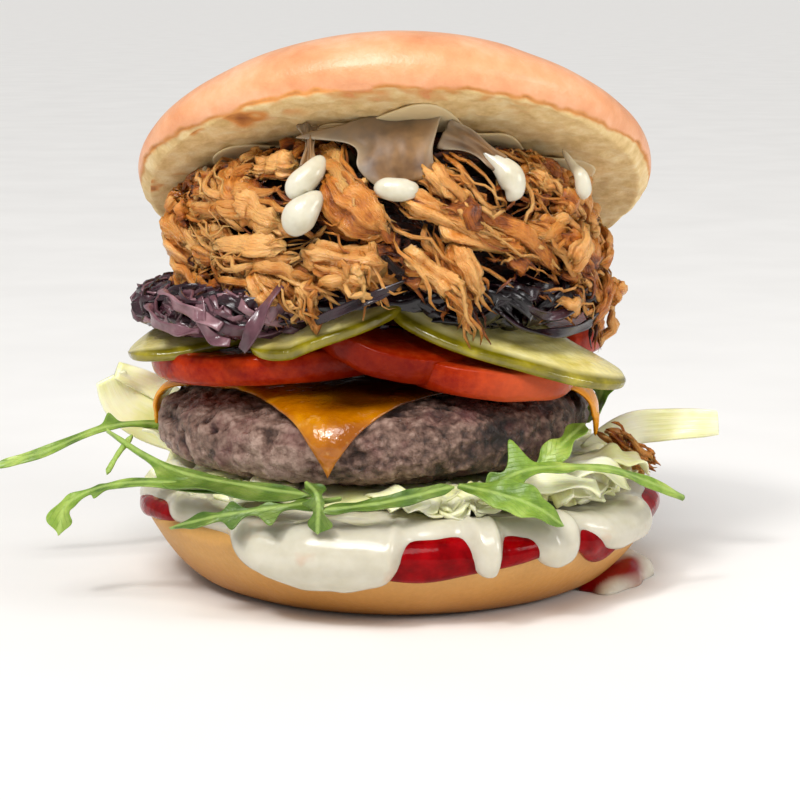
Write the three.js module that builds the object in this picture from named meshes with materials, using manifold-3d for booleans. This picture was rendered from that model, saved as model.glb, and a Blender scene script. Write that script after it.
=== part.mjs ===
// A tall pulled pork and beef burger: two bun halves round sauces, salad, a beef patty under a
// melted cheese slice, tomato, pickle, braised red cabbage and a heap of pulled pork.
// Millimetres, +Z up. The origin is the middle of the lower bun's flat base, and the front
// faces -Y. An azimuth is in degrees about Z: 0 faces the front and 90 faces +X.

import * as THREE from "three";
import { mergeGeometries, mergeVertices } from "three/addons/utils/BufferGeometryUtils.js";
import Module from "manifold-3d";

const wasm = await Module();
wasm.setup();

// Driving dimensions
const CLEARANCE = 0.3;
const WELD = 0.001;
const BUN_SIDES = 28;
const HEEL_BASE_RADIUS = 40;
const HEEL_RADIUS = 56.6;
const HEEL_SIDE_HEIGHT = 15.4;
const HEEL_HEIGHT = 18;
const HEEL_RIM = 3.4;
const KETCHUP_THICKNESS = 1.6;
const KETCHUP_OVERHANG = 3;
const MAYO_THICKNESS = 1.8;
const MAYO_DRIP_HEIGHT = 5.5;
const SAUCE_SUNK = -1.5;
const ICEBERG_RADIUS = 45;
const ICEBERG_LEVEL = 24;
const ICEBERG_HALF_HEIGHT = 3;
const ICEBERG_THICKNESS = 1.3;
const LEAF_THICKNESS = 0.8;
const LEAF_STEM_WIDTH = 1.8;
const PATTY_RADIUS = 48;
const PATTY_HALF_HEIGHT = 10;
const PATTY_CENTRE = new THREE.Vector3(-6, 0, 35.2);
const PATTY_LEAN = -1.7;
const PATTY_SQUARENESS = 3;
const PATTY_WOBBLE = 0.5;
const PATTY_LUMPS = 0.3;
const CHEESE_SIDE = 77;
const CHEESE_THICKNESS = 1.6;
const CHEESE_LIFT = 1.4;
const CHEESE_TURN = -10;
const CHEESE_HOLLOW = 0.07;
const CHEESE_STEPS = 12;
const TOMATO_THICKNESS = 6.4;
const TOMATO_BULGE = 0.5;
const TOMATO_SIDES = 20;
const PICKLE_THICKNESS = 3.4;
const CABBAGE_CENTRE = new THREE.Vector3(-7, -1, 62.5);
const CABBAGE_RADII = new THREE.Vector3(50, 47, 6.5);
const CABBAGE_SLOPE = new THREE.Vector2(0.035, -0.04);
const CABBAGE_SQUARENESS = 3;
const CABBAGE_HOLLOW = { azimuth: 1, spread: 25, depth: 12 };
const CABBAGE_SHREDS = 11;
const CABBAGE_THICKNESS = 1.6;
const SHRED_ROOT = 2;
const PORK_CENTRE = new THREE.Vector3(-1, -1, 76);
const PORK_RADII = new THREE.Vector3(47, 45.5, 25);
const PORK_SQUARENESS = 3;
const PORK_DEPTH = 11;
const PORK_RIGHT_SIDE = { narrower: 0.03, narrowerAbove: 0.1, low: 64, high: 86 };
const PORK_STRANDS = 19;
const PORK_HANGING_RADIUS = 2.8;
const MAYO_RUN_RADIUS = 3.4;
const CROWN_RADIUS = 56;
const CROWN_HEIGHT = 24.8;
const CROWN_SAG = 1;
const CROWN_SLUMP = 6;
const CROWN_LIP = 4.5;
const CROWN_CENTRE = new THREE.Vector3(-1, 0, 84.9);
const CROWN_TILT = -27;
const CROWN_ROLL = -0.7;
const CROWN_SIDES = 32;

const BREAD = { color: 0xe0a468, roughness: 0.6 };
const CRUST = { color: 0xe9a676, roughness: 0.35 };
const KETCHUP = { color: 0xa80810, roughness: 0.2 };
const MAYO = { color: 0xece8d2, roughness: 0.25 };
const ICEBERG = { color: 0xe4ecb8, roughness: 0.4 };
const ROCKET = { color: 0x6e9634, roughness: 0.5 };
const BEEF = { color: 0x5f4b46, roughness: 0.7 };
const CHEESE = { color: 0xdc9212, roughness: 0.35 };
const TOMATO = { color: 0xbe3418, roughness: 0.3 };
const PICKLE = { color: 0x98902a, roughness: 0.35 };
const CABBAGE = { color: 0x553c55, roughness: 0.35 };
const PORK = { color: 0xc08048, roughness: 0.55 };

const DEGREE = Math.PI / 180;
const GOLDEN_ANGLE = 137.5;
const burger = new THREE.Group();

// Working helpers

function at(x, y, z) {
  return new THREE.Vector3(x, y, z);
}

function around(azimuth, radius, height) {
  const angle = azimuth * DEGREE;
  return at(radius * Math.sin(angle), -radius * Math.cos(angle), height);
}

// A repeatable draw between two values, one for each piece number and kind of draw.
function draw(number, kind, low, high) {
  const wave = Math.sin(number * 127.1 + kind * 311.7) * 43758.5453;
  return low + (high - low) * (wave - Math.floor(wave));
}

// A smooth swelling that is 1 at its own azimuth and fades over its spread.
function swelling(azimuth, centre, spread) {
  const turn = ((((azimuth - centre) % 360) + 540) % 360) - 180;
  return Math.exp(-((turn / spread) ** 4));
}

// Radius share and height share of a plump rounded section at an elevation from -90 to 90.
function plump(elevation, squareness) {
  const rise = Math.sin(elevation * DEGREE);
  const power = 2 / squareness;
  return {
    out: Math.max(Math.cos(elevation * DEGREE), 0) ** power,
    up: Math.sign(rise) * Math.abs(rise) ** power,
  };
}

function deform(geometry, place) {
  const positions = geometry.getAttribute("position");
  const point = at(0, 0, 0);
  for (let i = 0; i < positions.count; i += 1) {
    const moved = place(point.fromBufferAttribute(positions, i));
    positions.setXYZ(i, moved.x, moved.y, moved.z);
  }
  return geometry;
}

// A closed ball whose points are placed by azimuth and elevation, with its poles on the axis.
function ball(sides, rings, place) {
  const geometry = new THREE.SphereGeometry(1, sides, rings).rotateX(Math.PI / 2);
  return deform(geometry, (point) => {
    const azimuth = Math.atan2(point.x, -point.y) / DEGREE;
    const elevation = Math.asin(THREE.MathUtils.clamp(point.z, -1, 1)) / DEGREE;
    return place(azimuth, elevation);
  });
}

// A plump ball about a centre. Here and below, growth makes a larger copy of the same piece.
function plumpBall({ centre, radii, squareness, sides, rings }, growth = 0) {
  const grown = radii.clone().addScalar(growth);
  const surface = (azimuth, elevation) => plumpPoint(centre, grown, squareness, azimuth, elevation);
  return ball(sides, rings, surface);
}

function plumpPoint(centre, radii, squareness, azimuth, elevation) {
  const { out, up } = plump(elevation, squareness);
  return around(azimuth, out, up).multiply(radii).add(centre);
}

// A thin sheet along a curve. Its broad side looks toward face, width(t) is its full width, and
// lift(t, v) raises it, with t along it from 0 to 1 and v across it from -1 to 1. Both broad
// sides are split into the same triangles.
function sheet({ points, face, width, thickness, lift = () => 0, steps = 5, across = 1 }, growth = 0) {
  const curve = new THREE.CatmullRomCurve3(points);
  const front = new THREE.PlaneGeometry(1, 2, steps, across).translate(0.5, 0, 0.5);
  const back = front.clone().translate(0, 0, -1);
  const both = mergeGeometries([front, back]);
  both.setIndex(closedIndex(Array.from(front.index.array), front.getAttribute("position").count));
  return deform(both, ({ x: t, y: v, z: side }) => {
    const along = curve.getTangent(t);
    const normal = face.clone().projectOnPlane(along).normalize();
    const sideways = at(0, 0, 0).crossVectors(normal, along);
    return curve
      .getPoint(t)
      .addScaledVector(along, (2 * t - 1) * growth)
      .addScaledVector(sideways, v * (width(t) / 2 + growth))
      .addScaledVector(normal, side * (thickness + 2 * growth) + lift(t, v));
  });
}

// Triangles of an open grid, the same ones facing the other way on its copy, and the walls
// between the two along the open edge.
function closedIndex(faces, count) {
  const edges = new Set();
  const closed = [];
  for (let i = 0; i < faces.length; i += 3) {
    const [a, b, c] = faces.slice(i, i + 3);
    closed.push(a, b, c, c + count, b + count, a + count);
    for (const [from, to] of [[a, b], [b, c], [c, a]]) {
      edges.add(`${from} ${to}`);
    }
  }
  for (const edge of edges) {
    const [from, to] = edge.split(" ").map(Number);
    if (!edges.has(`${to} ${from}`)) {
      closed.push(to, from, from + count, to, from + count, to + count);
    }
  }
  return closed;
}

// A round strand along a curve that swells to its full radius between its two thin ends.
function strand({ points, face, radius, flatness = 1, steps = 3, sides = 4 }, growth = 0) {
  const curve = new THREE.CatmullRomCurve3(points);
  const thinEnd = 0.35;
  return deform(new THREE.CylinderGeometry(1, 1, 1, sides, steps), (point) => {
    const t = point.y + 0.5;
    const along = curve.getTangent(t);
    const normal = face.clone().projectOnPlane(along).normalize();
    const sideways = at(0, 0, 0).crossVectors(along, normal);
    const reach = radius * (thinEnd + (1 - thinEnd) * Math.sin(Math.PI * t) ** 0.6);
    return curve
      .getPoint(t)
      .addScaledVector(along, (2 * t - 1) * growth)
      .addScaledVector(sideways, point.x * (reach + growth))
      .addScaledVector(normal, point.z * (reach * flatness + growth));
  });
}

function toSolid(geometry) {
  const bare = geometry.clone();
  bare.deleteAttribute("normal");
  bare.deleteAttribute("uv");
  const merged = mergeVertices(bare, WELD);
  const kept = [];
  const faces = merged.index.array;
  for (let i = 0; i < faces.length; i += 3) {
    const [a, b, c] = faces.slice(i, i + 3);
    if (a !== b && b !== c && c !== a) {
      kept.push(a, b, c);
    }
  }
  const vertProperties = merged.getAttribute("position").array;
  const triVerts = new Uint32Array(kept);
  return new wasm.Manifold(new wasm.Mesh({ numProp: 3, vertProperties, triVerts }));
}

function toGeometry(solid) {
  const mesh = solid.getMesh();
  const geometry = new THREE.BufferGeometry();
  geometry.setAttribute("position", new THREE.BufferAttribute(mesh.vertProperties, 3));
  geometry.setIndex(new THREE.BufferAttribute(mesh.triVerts, 1));
  return geometry;
}

// Joins closed pieces into one solid.
function fused(pieces) {
  return pieces.map(toSolid).reduce((whole, piece) => whole.add(piece));
}

// The largest body of a solid once vertices that all but touch are one.
function largestBody(solid) {
  const bodies = toSolid(toGeometry(solid)).decompose();
  const largest = bodies.reduce((one, other) => (other.volume() > one.volume() ? other : one));
  return toSolid(toGeometry(largest));
}

// Adds the piece that shape(growth) gives, cut back clear of its neighbours and without
// splinters, and keeps its grown copy for the pieces that come after it.
function place(name, look, shape, neighbours = [], parent = burger) {
  const sliver = 0.1;
  const cut = neighbours.reduce((left, neighbour) => left.subtract(neighbour.grown), shape(0));
  const solid = neighbours.length ? largestBody(largestBody(cut.simplify(sliver))) : cut;
  const mesh = new THREE.Mesh(toGeometry(solid), new THREE.MeshStandardMaterial({ ...look, metalness: 0 }));
  mesh.name = name;
  parent.add(mesh);
  mesh.updateWorldMatrix(true, false);
  return { mesh, grown: shape(CLEARANCE).transform(mesh.matrixWorld.elements) };
}

// Lower bun: a flat cut face, a soft rim and a side that curls under to the flat base

function heelSide(share) {
  const radius = HEEL_BASE_RADIUS + (HEEL_RADIUS - HEEL_BASE_RADIUS) * share;
  return new THREE.Vector2(radius, HEEL_SIDE_HEIGHT * share ** 2);
}

const heelOutline = new THREE.SplineCurve([
  new THREE.Vector2(0, HEEL_HEIGHT),
  new THREE.Vector2(HEEL_RADIUS * 0.6, HEEL_HEIGHT),
  new THREE.Vector2(HEEL_RADIUS - HEEL_RIM, HEEL_HEIGHT - 0.1),
  new THREE.Vector2(HEEL_RADIUS - HEEL_RIM / 4, HEEL_HEIGHT - 0.9),
  ...[1, 0.88, 0.74, 0.58, 0.4, 0.2, 0].map(heelSide),
]);
const heelArc = heelOutline.getLength();
const heelRimArc = HEEL_RADIUS - 1;

function turned(profile, sides) {
  return toSolid(new THREE.LatheGeometry(profile, sides).rotateX(Math.PI / 2));
}

function heelShape(growth) {
  const last = heelOutline.points.length - 1;
  const outline = heelOutline.points.map((point, i) => {
    const tangent = heelOutline.getTangent(i / last);
    return new THREE.Vector2(Math.max(point.x - tangent.y * growth, 0), point.y + tangent.x * growth);
  });
  outline[0].x = 0;
  return turned([new THREE.Vector2(0, -growth), ...outline.reverse()], BUN_SIDES);
}

const heel = place("bun_heel", BREAD, heelShape);

// A point at a height above the bun's surface, arc away from the middle of the cut face.
function overHeel(azimuth, arc, height) {
  const share = Math.min(arc / heelArc, 1);
  const point = heelOutline.getPointAt(share);
  const tangent = heelOutline.getTangentAt(share);
  return around(azimuth, Math.max(point.x - tangent.y * height, 0), point.y + tangent.x * height);
}

// A sauce spread over the cut face that runs over the rim, between two heights above the bun.
// reach(azimuth) is the length of the spread from the middle. Its first ring is just inside the
// rim, and the others follow evenly to its rounded edge.
function spread({ sides, rings, reach, underside, topside }, growth) {
  const firstArc = heelRimArc - 5;
  const middle = (underside + topside + growth) / 2;
  return ball(sides, rings * 2, (azimuth, elevation) => {
    const ring = (1 - Math.abs(elevation) / 90) * rings;
    const arc = ring < 0.5 ? 0 : firstArc + ((reach(azimuth) - firstArc) * (ring - 1)) / (rings - 1);
    const rounded = Math.sqrt(Math.max(1 - (ring / rings) ** 6, 0)) * Math.sign(elevation);
    const past = ring > rings - 0.5 ? growth : 0;
    return overHeel(azimuth, arc + past, middle + (rounded * (topside + growth - underside)) / 2);
  });
}

function runLength(runs, azimuth) {
  return Math.max(...runs.map((run) => run.length * swelling(azimuth, run.azimuth, run.spread)));
}

// Ketchup: a thin even spread with a few broad runs over the rim

const ketchupRuns = [
  { azimuth: 6, spread: 22, length: 5.5 },
  { azimuth: 50, spread: 12, length: 4.5 },
  { azimuth: 155, spread: 24, length: 3 },
];
const ketchupLayer = {
  sides: BUN_SIDES,
  rings: 6,
  reach: (azimuth) => heelRimArc + KETCHUP_OVERHANG + runLength(ketchupRuns, azimuth),
  underside: SAUCE_SUNK,
  topside: CLEARANCE + KETCHUP_THICKNESS,
};
const ketchup = place("ketchup", KETCHUP, (growth) => toSolid(spread(ketchupLayer, growth)), [heel]);

// Lower mayonnaise: thicker at the rim, with drips down the side

const mayoDrips = [
  { azimuth: -18, halfWidth: 18, length: 10.5 },
  { azimuth: 20.5, halfWidth: 4, length: 7 },
  { azimuth: 39, halfWidth: 6.5, length: 8.5 },
  { azimuth: 57, halfWidth: 11, length: 6.5 },
  { azimuth: 118, halfWidth: 9, length: 9 },
  { azimuth: 168, halfWidth: 7, length: 6 },
  { azimuth: -132, halfWidth: 10, length: 10 },
];

// A tongue of sauce from the rim down the side of the bun.
function drip({ azimuth, halfWidth, length }, growth) {
  const start = -8;
  const height = MAYO_DRIP_HEIGHT + growth;
  return ball(10, 6, (turn, elevation) => {
    const { out, up } = plump(elevation, 3);
    const flat = around(turn, out, 0);
    const arc = heelRimArc + start + (length + growth - start) * (0.5 - flat.y / 2);
    const offset = (flat.x * (halfWidth + growth)) / heelRimArc / DEGREE;
    return overHeel(azimuth + offset, arc, up > 0 ? height * up : SAUCE_SUNK * -up);
  });
}

const mayoLayer = {
  sides: BUN_SIDES,
  rings: 4,
  reach: () => heelRimArc + 1.5,
  underside: SAUCE_SUNK,
  topside: KETCHUP_THICKNESS + 3 * CLEARANCE + MAYO_THICKNESS,
};

function mayoLowerShape(growth) {
  return fused([spread(mayoLayer, growth), ...mayoDrips.map((run) => drip(run, growth))]);
}

const mayoLower = place("mayo_lower", MAYO, mayoLowerShape, [heel, ketchup]);

// Sauce spill: what ran off the bun lies beside it as a plump puddle

const spill = { centre: at(46.5, -12.5, 1), radii: at(8.5, 11, 5), squareness: 2, sides: 14, rings: 6 };
const floorNormal = [0, 0, 1];

function spillShape(growth) {
  return toSolid(plumpBall(spill, growth)).trimByPlane(floorNormal, 0);
}

place("sauce_spill", MAYO, spillShape, [heel, ketchup, mayoLower]);

// Beef patty and cheese: the slice lies on the patty and its corners hang over the side

const grill = new THREE.Group();
grill.position.copy(PATTY_CENTRE);
grill.rotation.y = PATTY_LEAN * DEGREE;
burger.add(grill);

function pattyPoint(azimuth, elevation, growth) {
  const { out, up } = plump(elevation, PATTY_SQUARENESS);
  const wobble = Math.sin(3 * azimuth * DEGREE + 1) + 0.7 * Math.sin(7 * azimuth * DEGREE + 2);
  const lumps = Math.sin(5 * azimuth * DEGREE + elevation * 0.1) * out;
  const radius = PATTY_RADIUS + PATTY_WOBBLE * wobble + growth;
  return around(azimuth, radius * out, (PATTY_HALF_HEIGHT + growth) * up + PATTY_LUMPS * lumps);
}

function pattyShape(growth) {
  return toSolid(ball(32, 12, (azimuth, elevation) => pattyPoint(azimuth, elevation, growth)));
}

const patty = place("beef_patty", BEEF, pattyShape, [], grill);

const cheesePath = new THREE.SplineCurve([
  ...[90, 70, 50, 35, 20, 10, 0].map((elevation) => {
    const { out, up } = plump(elevation, PATTY_SQUARENESS);
    return new THREE.Vector2(PATTY_RADIUS * out, PATTY_HALF_HEIGHT * up);
  }),
  new THREE.Vector2(PATTY_RADIUS + 0.2, -PATTY_HALF_HEIGHT * 0.7),
  new THREE.Vector2(PATTY_RADIUS + 0.3, -PATTY_HALF_HEIGHT * 1.4),
]);
const cheesePathLength = cheesePath.getLength();

function cheesePoint(flat, growth) {
  const half = CHEESE_SIDE / 2;
  const x = flat.x * (1 - CHEESE_HOLLOW * (1 - (flat.y / half) ** 2));
  const y = flat.y * (1 - CHEESE_HOLLOW * (1 - (flat.x / half) ** 2));
  const arc = Math.hypot(x, y);
  const azimuth = Math.atan2(x, -y) / DEGREE + CHEESE_TURN + 45;
  const share = Math.min(arc / cheesePathLength, 1);
  const point = cheesePath.getPointAt(share);
  const tangent = cheesePath.getTangentAt(share);
  const height = CHEESE_LIFT + CHEESE_THICKNESS / 2 + flat.z * (1 + (2 * growth) / CHEESE_THICKNESS);
  return around(azimuth, Math.max(point.x - tangent.y * height, 0), point.y + tangent.x * height);
}

function cheeseShape(growth) {
  const side = CHEESE_SIDE + 2 * growth;
  const slab = new THREE.BoxGeometry(side, side, CHEESE_THICKNESS, CHEESE_STEPS, CHEESE_STEPS, 1);
  const draped = deform(slab, (flat) => cheesePoint(flat, growth));
  return toSolid(draped.applyMatrix4(grill.matrixWorld));
}

const cheese = place("cheese_slice", CHEESE, cheeseShape, [patty]);

// Iceberg salad: a bed of shreds under the patty, some of them sticking out at the sides

const icebergShreds = [
  { points: [at(42, 3, 25), at(51, 4, 31), at(61, 2, 33.4), at(72, -1, 33.6)], width: 6.5 },
  { points: [at(-38, 17, 24.2), at(-51, 21, 26.5), at(-60, 20, 35), at(-68, 18, 42.5)], width: 9 },
  { points: [at(-38, 4, 24.2), at(-51, 5, 26.4), at(-58, 6, 31)], width: 4 },
  { points: [at(-36, -16, 24.2), at(-48, -20, 26), at(-54, -22, 24)], width: 4 },
  { points: [at(22, -38, 25), at(32, -40, 28), at(41, -36, 25.5)], width: 5 },
  { points: [at(30, -30, 25), at(41, -31, 29), at(48, -27, 25.5)], width: 5 },
  { points: [at(34, -24, 25), at(46, -20, 28), at(53, -13, 26)], width: 5 },
  { points: [at(-6, -40, 25), at(0, -47, 26), at(8, -50, 25)], width: 4 },
  { points: [at(20, 38, 25), at(26, 46, 28), at(34, 50, 26)], width: 6 },
  { points: [at(-20, 38, 25), at(-24, 47, 27), at(-22, 55, 24)], width: 6 },
];
const icebergBed = {
  centre: at(0, 0, ICEBERG_LEVEL),
  radii: at(ICEBERG_RADIUS, ICEBERG_RADIUS, ICEBERG_HALF_HEIGHT),
  squareness: 3,
  sides: 20,
  rings: 6,
};

function icebergShape(growth) {
  const face = at(0, -0.5, 1);
  const shreds = icebergShreds.map(({ points, width }) =>
    sheet({ points, face, width: () => width, thickness: ICEBERG_THICKNESS }, growth),
  );
  return fused([plumpBall(icebergBed, growth), ...shreds]);
}

const iceberg = place("iceberg_shreds", ICEBERG, icebergShape, [heel, ketchup, mayoLower, patty, cheese]);

// Rocket: each leaf has a thin stem and a lobed blade, and is tucked in under the patty

const rocketLeaves = [
  {
    points: [at(-46, 12, 28.5), at(-57, 6, 31.5), at(-67, 3, 31), at(-80, 1, 26), at(-92, 0, 22.6)],
    width: 5,
  },
  {
    points: [at(-34, -41, 26), at(-50, -39, 27.5), at(-62, -34, 25.5), at(-70, -33, 21.5), at(-72, -33, 15)],
    width: 7,
  },
  {
    points: [at(-63, -20, 35), at(-54, -28, 31), at(-45, -37, 29), at(-31, -46, 28.2), at(-18, -51, 27.4)],
    width: 8,
  },
  { points: [at(-12, -49, 26.4), at(-24, -54, 25.6), at(-36, -53, 23.6), at(-47, -48, 20)], width: 10 },
  { points: [at(-19, -51, 30), at(-16.5, -56, 28), at(-16.5, -57.5, 21)], width: 5 },
  { points: [at(-16, -56.6, 25.4), at(-3, -56, 27), at(11, -51, 29.3)], width: 2.4 },
  {
    points: [at(60.5, -25, 21.3), at(51, -31.5, 26.4), at(42, -38, 30.3), at(27, -47, 32), at(17, -48, 28)],
    width: 8,
  },
  { points: [at(12, -49, 28.6), at(20, -53, 27.8), at(27, -54, 25.8), at(33, -52.5, 22)], width: 11 },
  { points: [at(28, -37, 29.5), at(33, -35, 34), at(39, -28, 38)], width: 9 },
  { points: [at(41, 25, 28), at(46, 22, 33), at(47, 18, 41)], width: 7 },
  { points: [at(8, 48, 27), at(12, 55, 28), at(19, 61, 24), at(27, 65, 20)], width: 10 },
  { points: [at(-34, 39, 28), at(-42, 46, 29), at(-51, 52, 24), at(-60, 57, 20)], width: 10 },
  { points: [at(-57.5, -21, 34), at(-60, -25.5, 31), at(-62, -30, 27.6)], width: 1 },
];

// Width of a rocket leaf: a stem that opens into pairs of lobes and ends in a rounded tip.
function rocketWidth(t, width) {
  const opening = THREE.MathUtils.smoothstep(t, 0.1, 0.55);
  const lobes = 0.45 + 0.55 * Math.abs(Math.cos(2.5 * Math.PI * t));
  const tip = Math.sqrt(1 - 0.9 * THREE.MathUtils.smoothstep(t, 0.75, 1));
  return LEAF_STEM_WIDTH + Math.max(width - LEAF_STEM_WIDTH, 0) * opening * lobes * tip;
}

const leaves = [];
rocketLeaves.forEach(({ points, width }, i) => {
  const blade = {
    points,
    face: at(0, -0.7, 1),
    width: (t) => rocketWidth(t, width),
    thickness: LEAF_THICKNESS,
    lift: (t, v) => 0.08 * width * v * v,
    steps: 10,
    across: 2,
  };
  const name = `rocket_leaf_${String(i + 1).padStart(2, "0")}`;
  const under = [heel, ketchup, mayoLower, patty, cheese, iceberg, ...leaves];
  leaves.push(place(name, ROCKET, (growth) => toSolid(sheet(blade, growth)), under));
});

// Pickle: long slices with round ends, bent over what they lie on

const pickleSlices = {
  pickle_left: {
    points: [at(-58.5, -15, 51.2), at(-50, -15, 53.6), at(-37, -13, 55.8), at(-14, -8, 57.6)],
    width: 24,
    face: at(0, -0.1, 1),
  },
  pickle_middle: {
    points: [at(-31, -33.5, 55.3), at(-22, -35, 57.3), at(-12, -35.5, 61), at(2, -29, 66.5)],
    width: 15,
    face: at(0, -0.3, 1),
  },
  pickle_right: {
    points: [at(-2, -25, 67.5), at(9, -29.5, 62.5), at(21, -30.5, 57), at(35, -27.5, 52), at(47, -21, 48)],
    width: 26,
    face: at(0, -0.32, 1),
  },
  pickle_back: {
    points: [at(-24, 24, 55.5), at(-8, 30, 57), at(12, 33, 57.2), at(30, 31, 56)],
    width: 22,
    face: at(0, 0.1, 1),
  },
};
const pickles = [];
for (const [name, { points, width, face }] of Object.entries(pickleSlices)) {
  const slice = {
    points,
    face,
    width: (t) => width * Math.max(1 - Math.abs(2 * t - 1) ** 3, 0.04) ** 0.5,
    thickness: PICKLE_THICKNESS,
    steps: 10,
    across: 2,
  };
  pickles.push(place(name, PICKLE, (growth) => toSolid(sheet(slice, growth)), [patty, cheese, ...pickles]));
}

// Tomato: round slices with a bulging rim, laid over each other on the cheese

const tomatoSlices = {
  tomato_left: { radius: 30.7, centre: at(-24, -7, 51), tilt: at(0, -4, 0) },
  tomato_back: { radius: 28.5, centre: at(18, 14, 51.4), tilt: at(0, 0, 0) },
  tomato_middle: { radius: 18, centre: at(-1.5, -25, 57), tilt: at(16, 14, 0) },
  tomato_right: { radius: 21, centre: at(17, -21.5, 50.4), tilt: at(5, 7, 0) },
};

function tomatoProfile(radius, half) {
  return [
    new THREE.Vector2(0, -half),
    new THREE.Vector2(radius - 2.4, -half),
    new THREE.Vector2(radius - TOMATO_BULGE, -half * 0.3),
    new THREE.Vector2(radius, half * 0.4),
    new THREE.Vector2(radius - TOMATO_BULGE, half * 0.9),
    new THREE.Vector2(radius - 1.6, half),
    new THREE.Vector2(0, half),
  ];
}

const tomatoes = [];
for (const [name, { radius, centre, tilt }] of Object.entries(tomatoSlices)) {
  const turn = new THREE.Euler(tilt.x * DEGREE, tilt.y * DEGREE, tilt.z * DEGREE);
  const matrix = new THREE.Matrix4().makeRotationFromEuler(turn).setPosition(centre);
  const shape = (growth) => {
    const profile = tomatoProfile(radius + growth, TOMATO_THICKNESS / 2 + growth);
    return turned(profile, TOMATO_SIDES).transform(matrix.elements);
  };
  tomatoes.push(place(name, TOMATO, shape, [patty, cheese, ...pickles, ...tomatoes]));
}

// Upper bun: a thin lip round its cut face and a domed crust that slumps at the two sides,
// tipped back on the heap

function crownShape(growth) {
  const rise = CROWN_HEIGHT - CROWN_LIP + growth;
  const dome = [0, 15, 30, 45, 60, 75].map((elevation) => {
    const angle = elevation * DEGREE;
    const radius = (CROWN_RADIUS + growth) * Math.cos(angle);
    return new THREE.Vector2(radius, CROWN_LIP + rise * Math.sin(angle));
  });
  const profile = [
    new THREE.Vector2(0, -growth),
    new THREE.Vector2(CROWN_RADIUS - 3 + growth, -growth),
    new THREE.Vector2(CROWN_RADIUS - 0.9 + growth, CROWN_LIP * 0.3),
    ...dome,
    new THREE.Vector2(0, CROWN_HEIGHT + growth),
  ];
  const bowed = new THREE.LatheGeometry(profile, CROWN_SIDES).rotateX(Math.PI / 2);
  const sag = (point) => {
    const share = Math.max(point.z - CROWN_LIP, 0) / CROWN_HEIGHT;
    return point.setZ(point.z - (CROWN_SAG + CROWN_SLUMP * share) * (point.x / CROWN_RADIUS) ** 2);
  };
  return toSolid(deform(bowed, sag));
}

const lid = new THREE.Group();
lid.position.copy(CROWN_CENTRE);
lid.rotation.set(CROWN_TILT * DEGREE, CROWN_ROLL * DEGREE, 0);
burger.add(lid);
const crown = place("bun_crown", CRUST, crownShape, [], lid);

// Red cabbage: a bed over the pickles with curled shreds round its edge

function cabbagePoint(azimuth, elevation, growth = 0) {
  const { azimuth: middle, spread, depth } = CABBAGE_HOLLOW;
  const hollow = depth * swelling(azimuth, middle, spread);
  const radii = CABBAGE_RADII.clone().addScalar(growth).sub(at(hollow, hollow, 0));
  const point = plumpPoint(CABBAGE_CENTRE, radii, CABBAGE_SQUARENESS, azimuth, elevation);
  point.z += CABBAGE_SLOPE.x * point.x + CABBAGE_SLOPE.y * point.y;
  return point;
}

function cabbageShred(number, growth) {
  const azimuth = (number * 360) / CABBAGE_SHREDS + draw(number, 1, -4, 4);
  const turn = draw(number, 2, 10, 20) * Math.sign(draw(number, 3, -1, 1));
  const low = draw(number, 4, -45, -10);
  const high = draw(number, 5, 0, 45);
  const width = draw(number, 7, 2.6, 4.2);
  const points = [
    cabbagePoint(azimuth - turn, high).add(around(azimuth - turn, -SHRED_ROOT, 0)),
    cabbagePoint(azimuth, (low + high) / 2).add(around(azimuth, draw(number, 6, 1.5, 4.5), 0)),
    cabbagePoint(azimuth + turn, low).add(around(azimuth + turn, -SHRED_ROOT, 0)),
  ];
  const face = around(azimuth, 1, 0.3);
  return sheet({ points, face, width: () => width, thickness: CABBAGE_THICKNESS, steps: 3 }, growth);
}

function cabbageShape(growth) {
  const pieces = [ball(24, 6, (azimuth, elevation) => cabbagePoint(azimuth, elevation, growth))];
  for (let i = 0; i < CABBAGE_SHREDS; i += 1) {
    pieces.push(cabbageShred(i, growth));
  }
  return fused(pieces);
}

const cabbage = place("red_cabbage", CABBAGE, cabbageShape, [crown, cheese, ...pickles, ...tomatoes]);

// Upper mayonnaise: a smear under the crown that runs down over the pork in a few drops

const mayoRuns = [
  [at(-18, -26, 95.8), at(-19, -40, 95), at(-20.5, -47, 89), at(-21, -48.5, 81)],
  [at(-1, -26, 96), at(0, -41, 94.5), at(1, -47.5, 89)],
  [at(12, -24, 95.8), at(16, -39, 96), at(22, -46, 90), at(24, -46.5, 85.5)],
  [at(28, -12, 90.7), at(35, -24, 91.5), at(38, -29, 85.5)],
  [at(-28, -14, 90.7), at(-36, -23, 92), at(-40, -26.5, 88)],
];
const smear = { centre: at(0, -1, -1.5), radii: at(38.5, 39.5, 1.7), squareness: 3, sides: 24, rings: 6 };

function mayoUpperShape(growth) {
  const runs = mayoRuns.map((points) =>
    strand({ points, face: at(0, -1, 0.3), radius: MAYO_RUN_RADIUS, flatness: 0.8, sides: 8 }, growth),
  );
  return fused([plumpBall(smear, growth).applyMatrix4(lid.matrixWorld), ...runs]);
}

const mayoUpper = place("mayo_upper", MAYO, mayoUpperShape, [crown, cabbage]);

// Pulled pork: a heap of torn strands over its own core

function porkPoint(azimuth, elevation, growth = 0) {
  const radii = PORK_RADII.clone().setZ(elevation < 0 ? PORK_DEPTH : PORK_RADII.z).addScalar(growth);
  const point = plumpPoint(PORK_CENTRE, radii, PORK_SQUARENESS, azimuth, elevation);
  const { narrower, narrowerAbove, low, high } = PORK_RIGHT_SIDE;
  const right = Math.max(Math.sin(azimuth * DEGREE), 0) ** 2;
  const share = 1 - right * (narrower + narrowerAbove * THREE.MathUtils.smoothstep(point.z, low, high));
  return point.sub(PORK_CENTRE).multiply(at(share, share, 1)).add(PORK_CENTRE);
}

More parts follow.
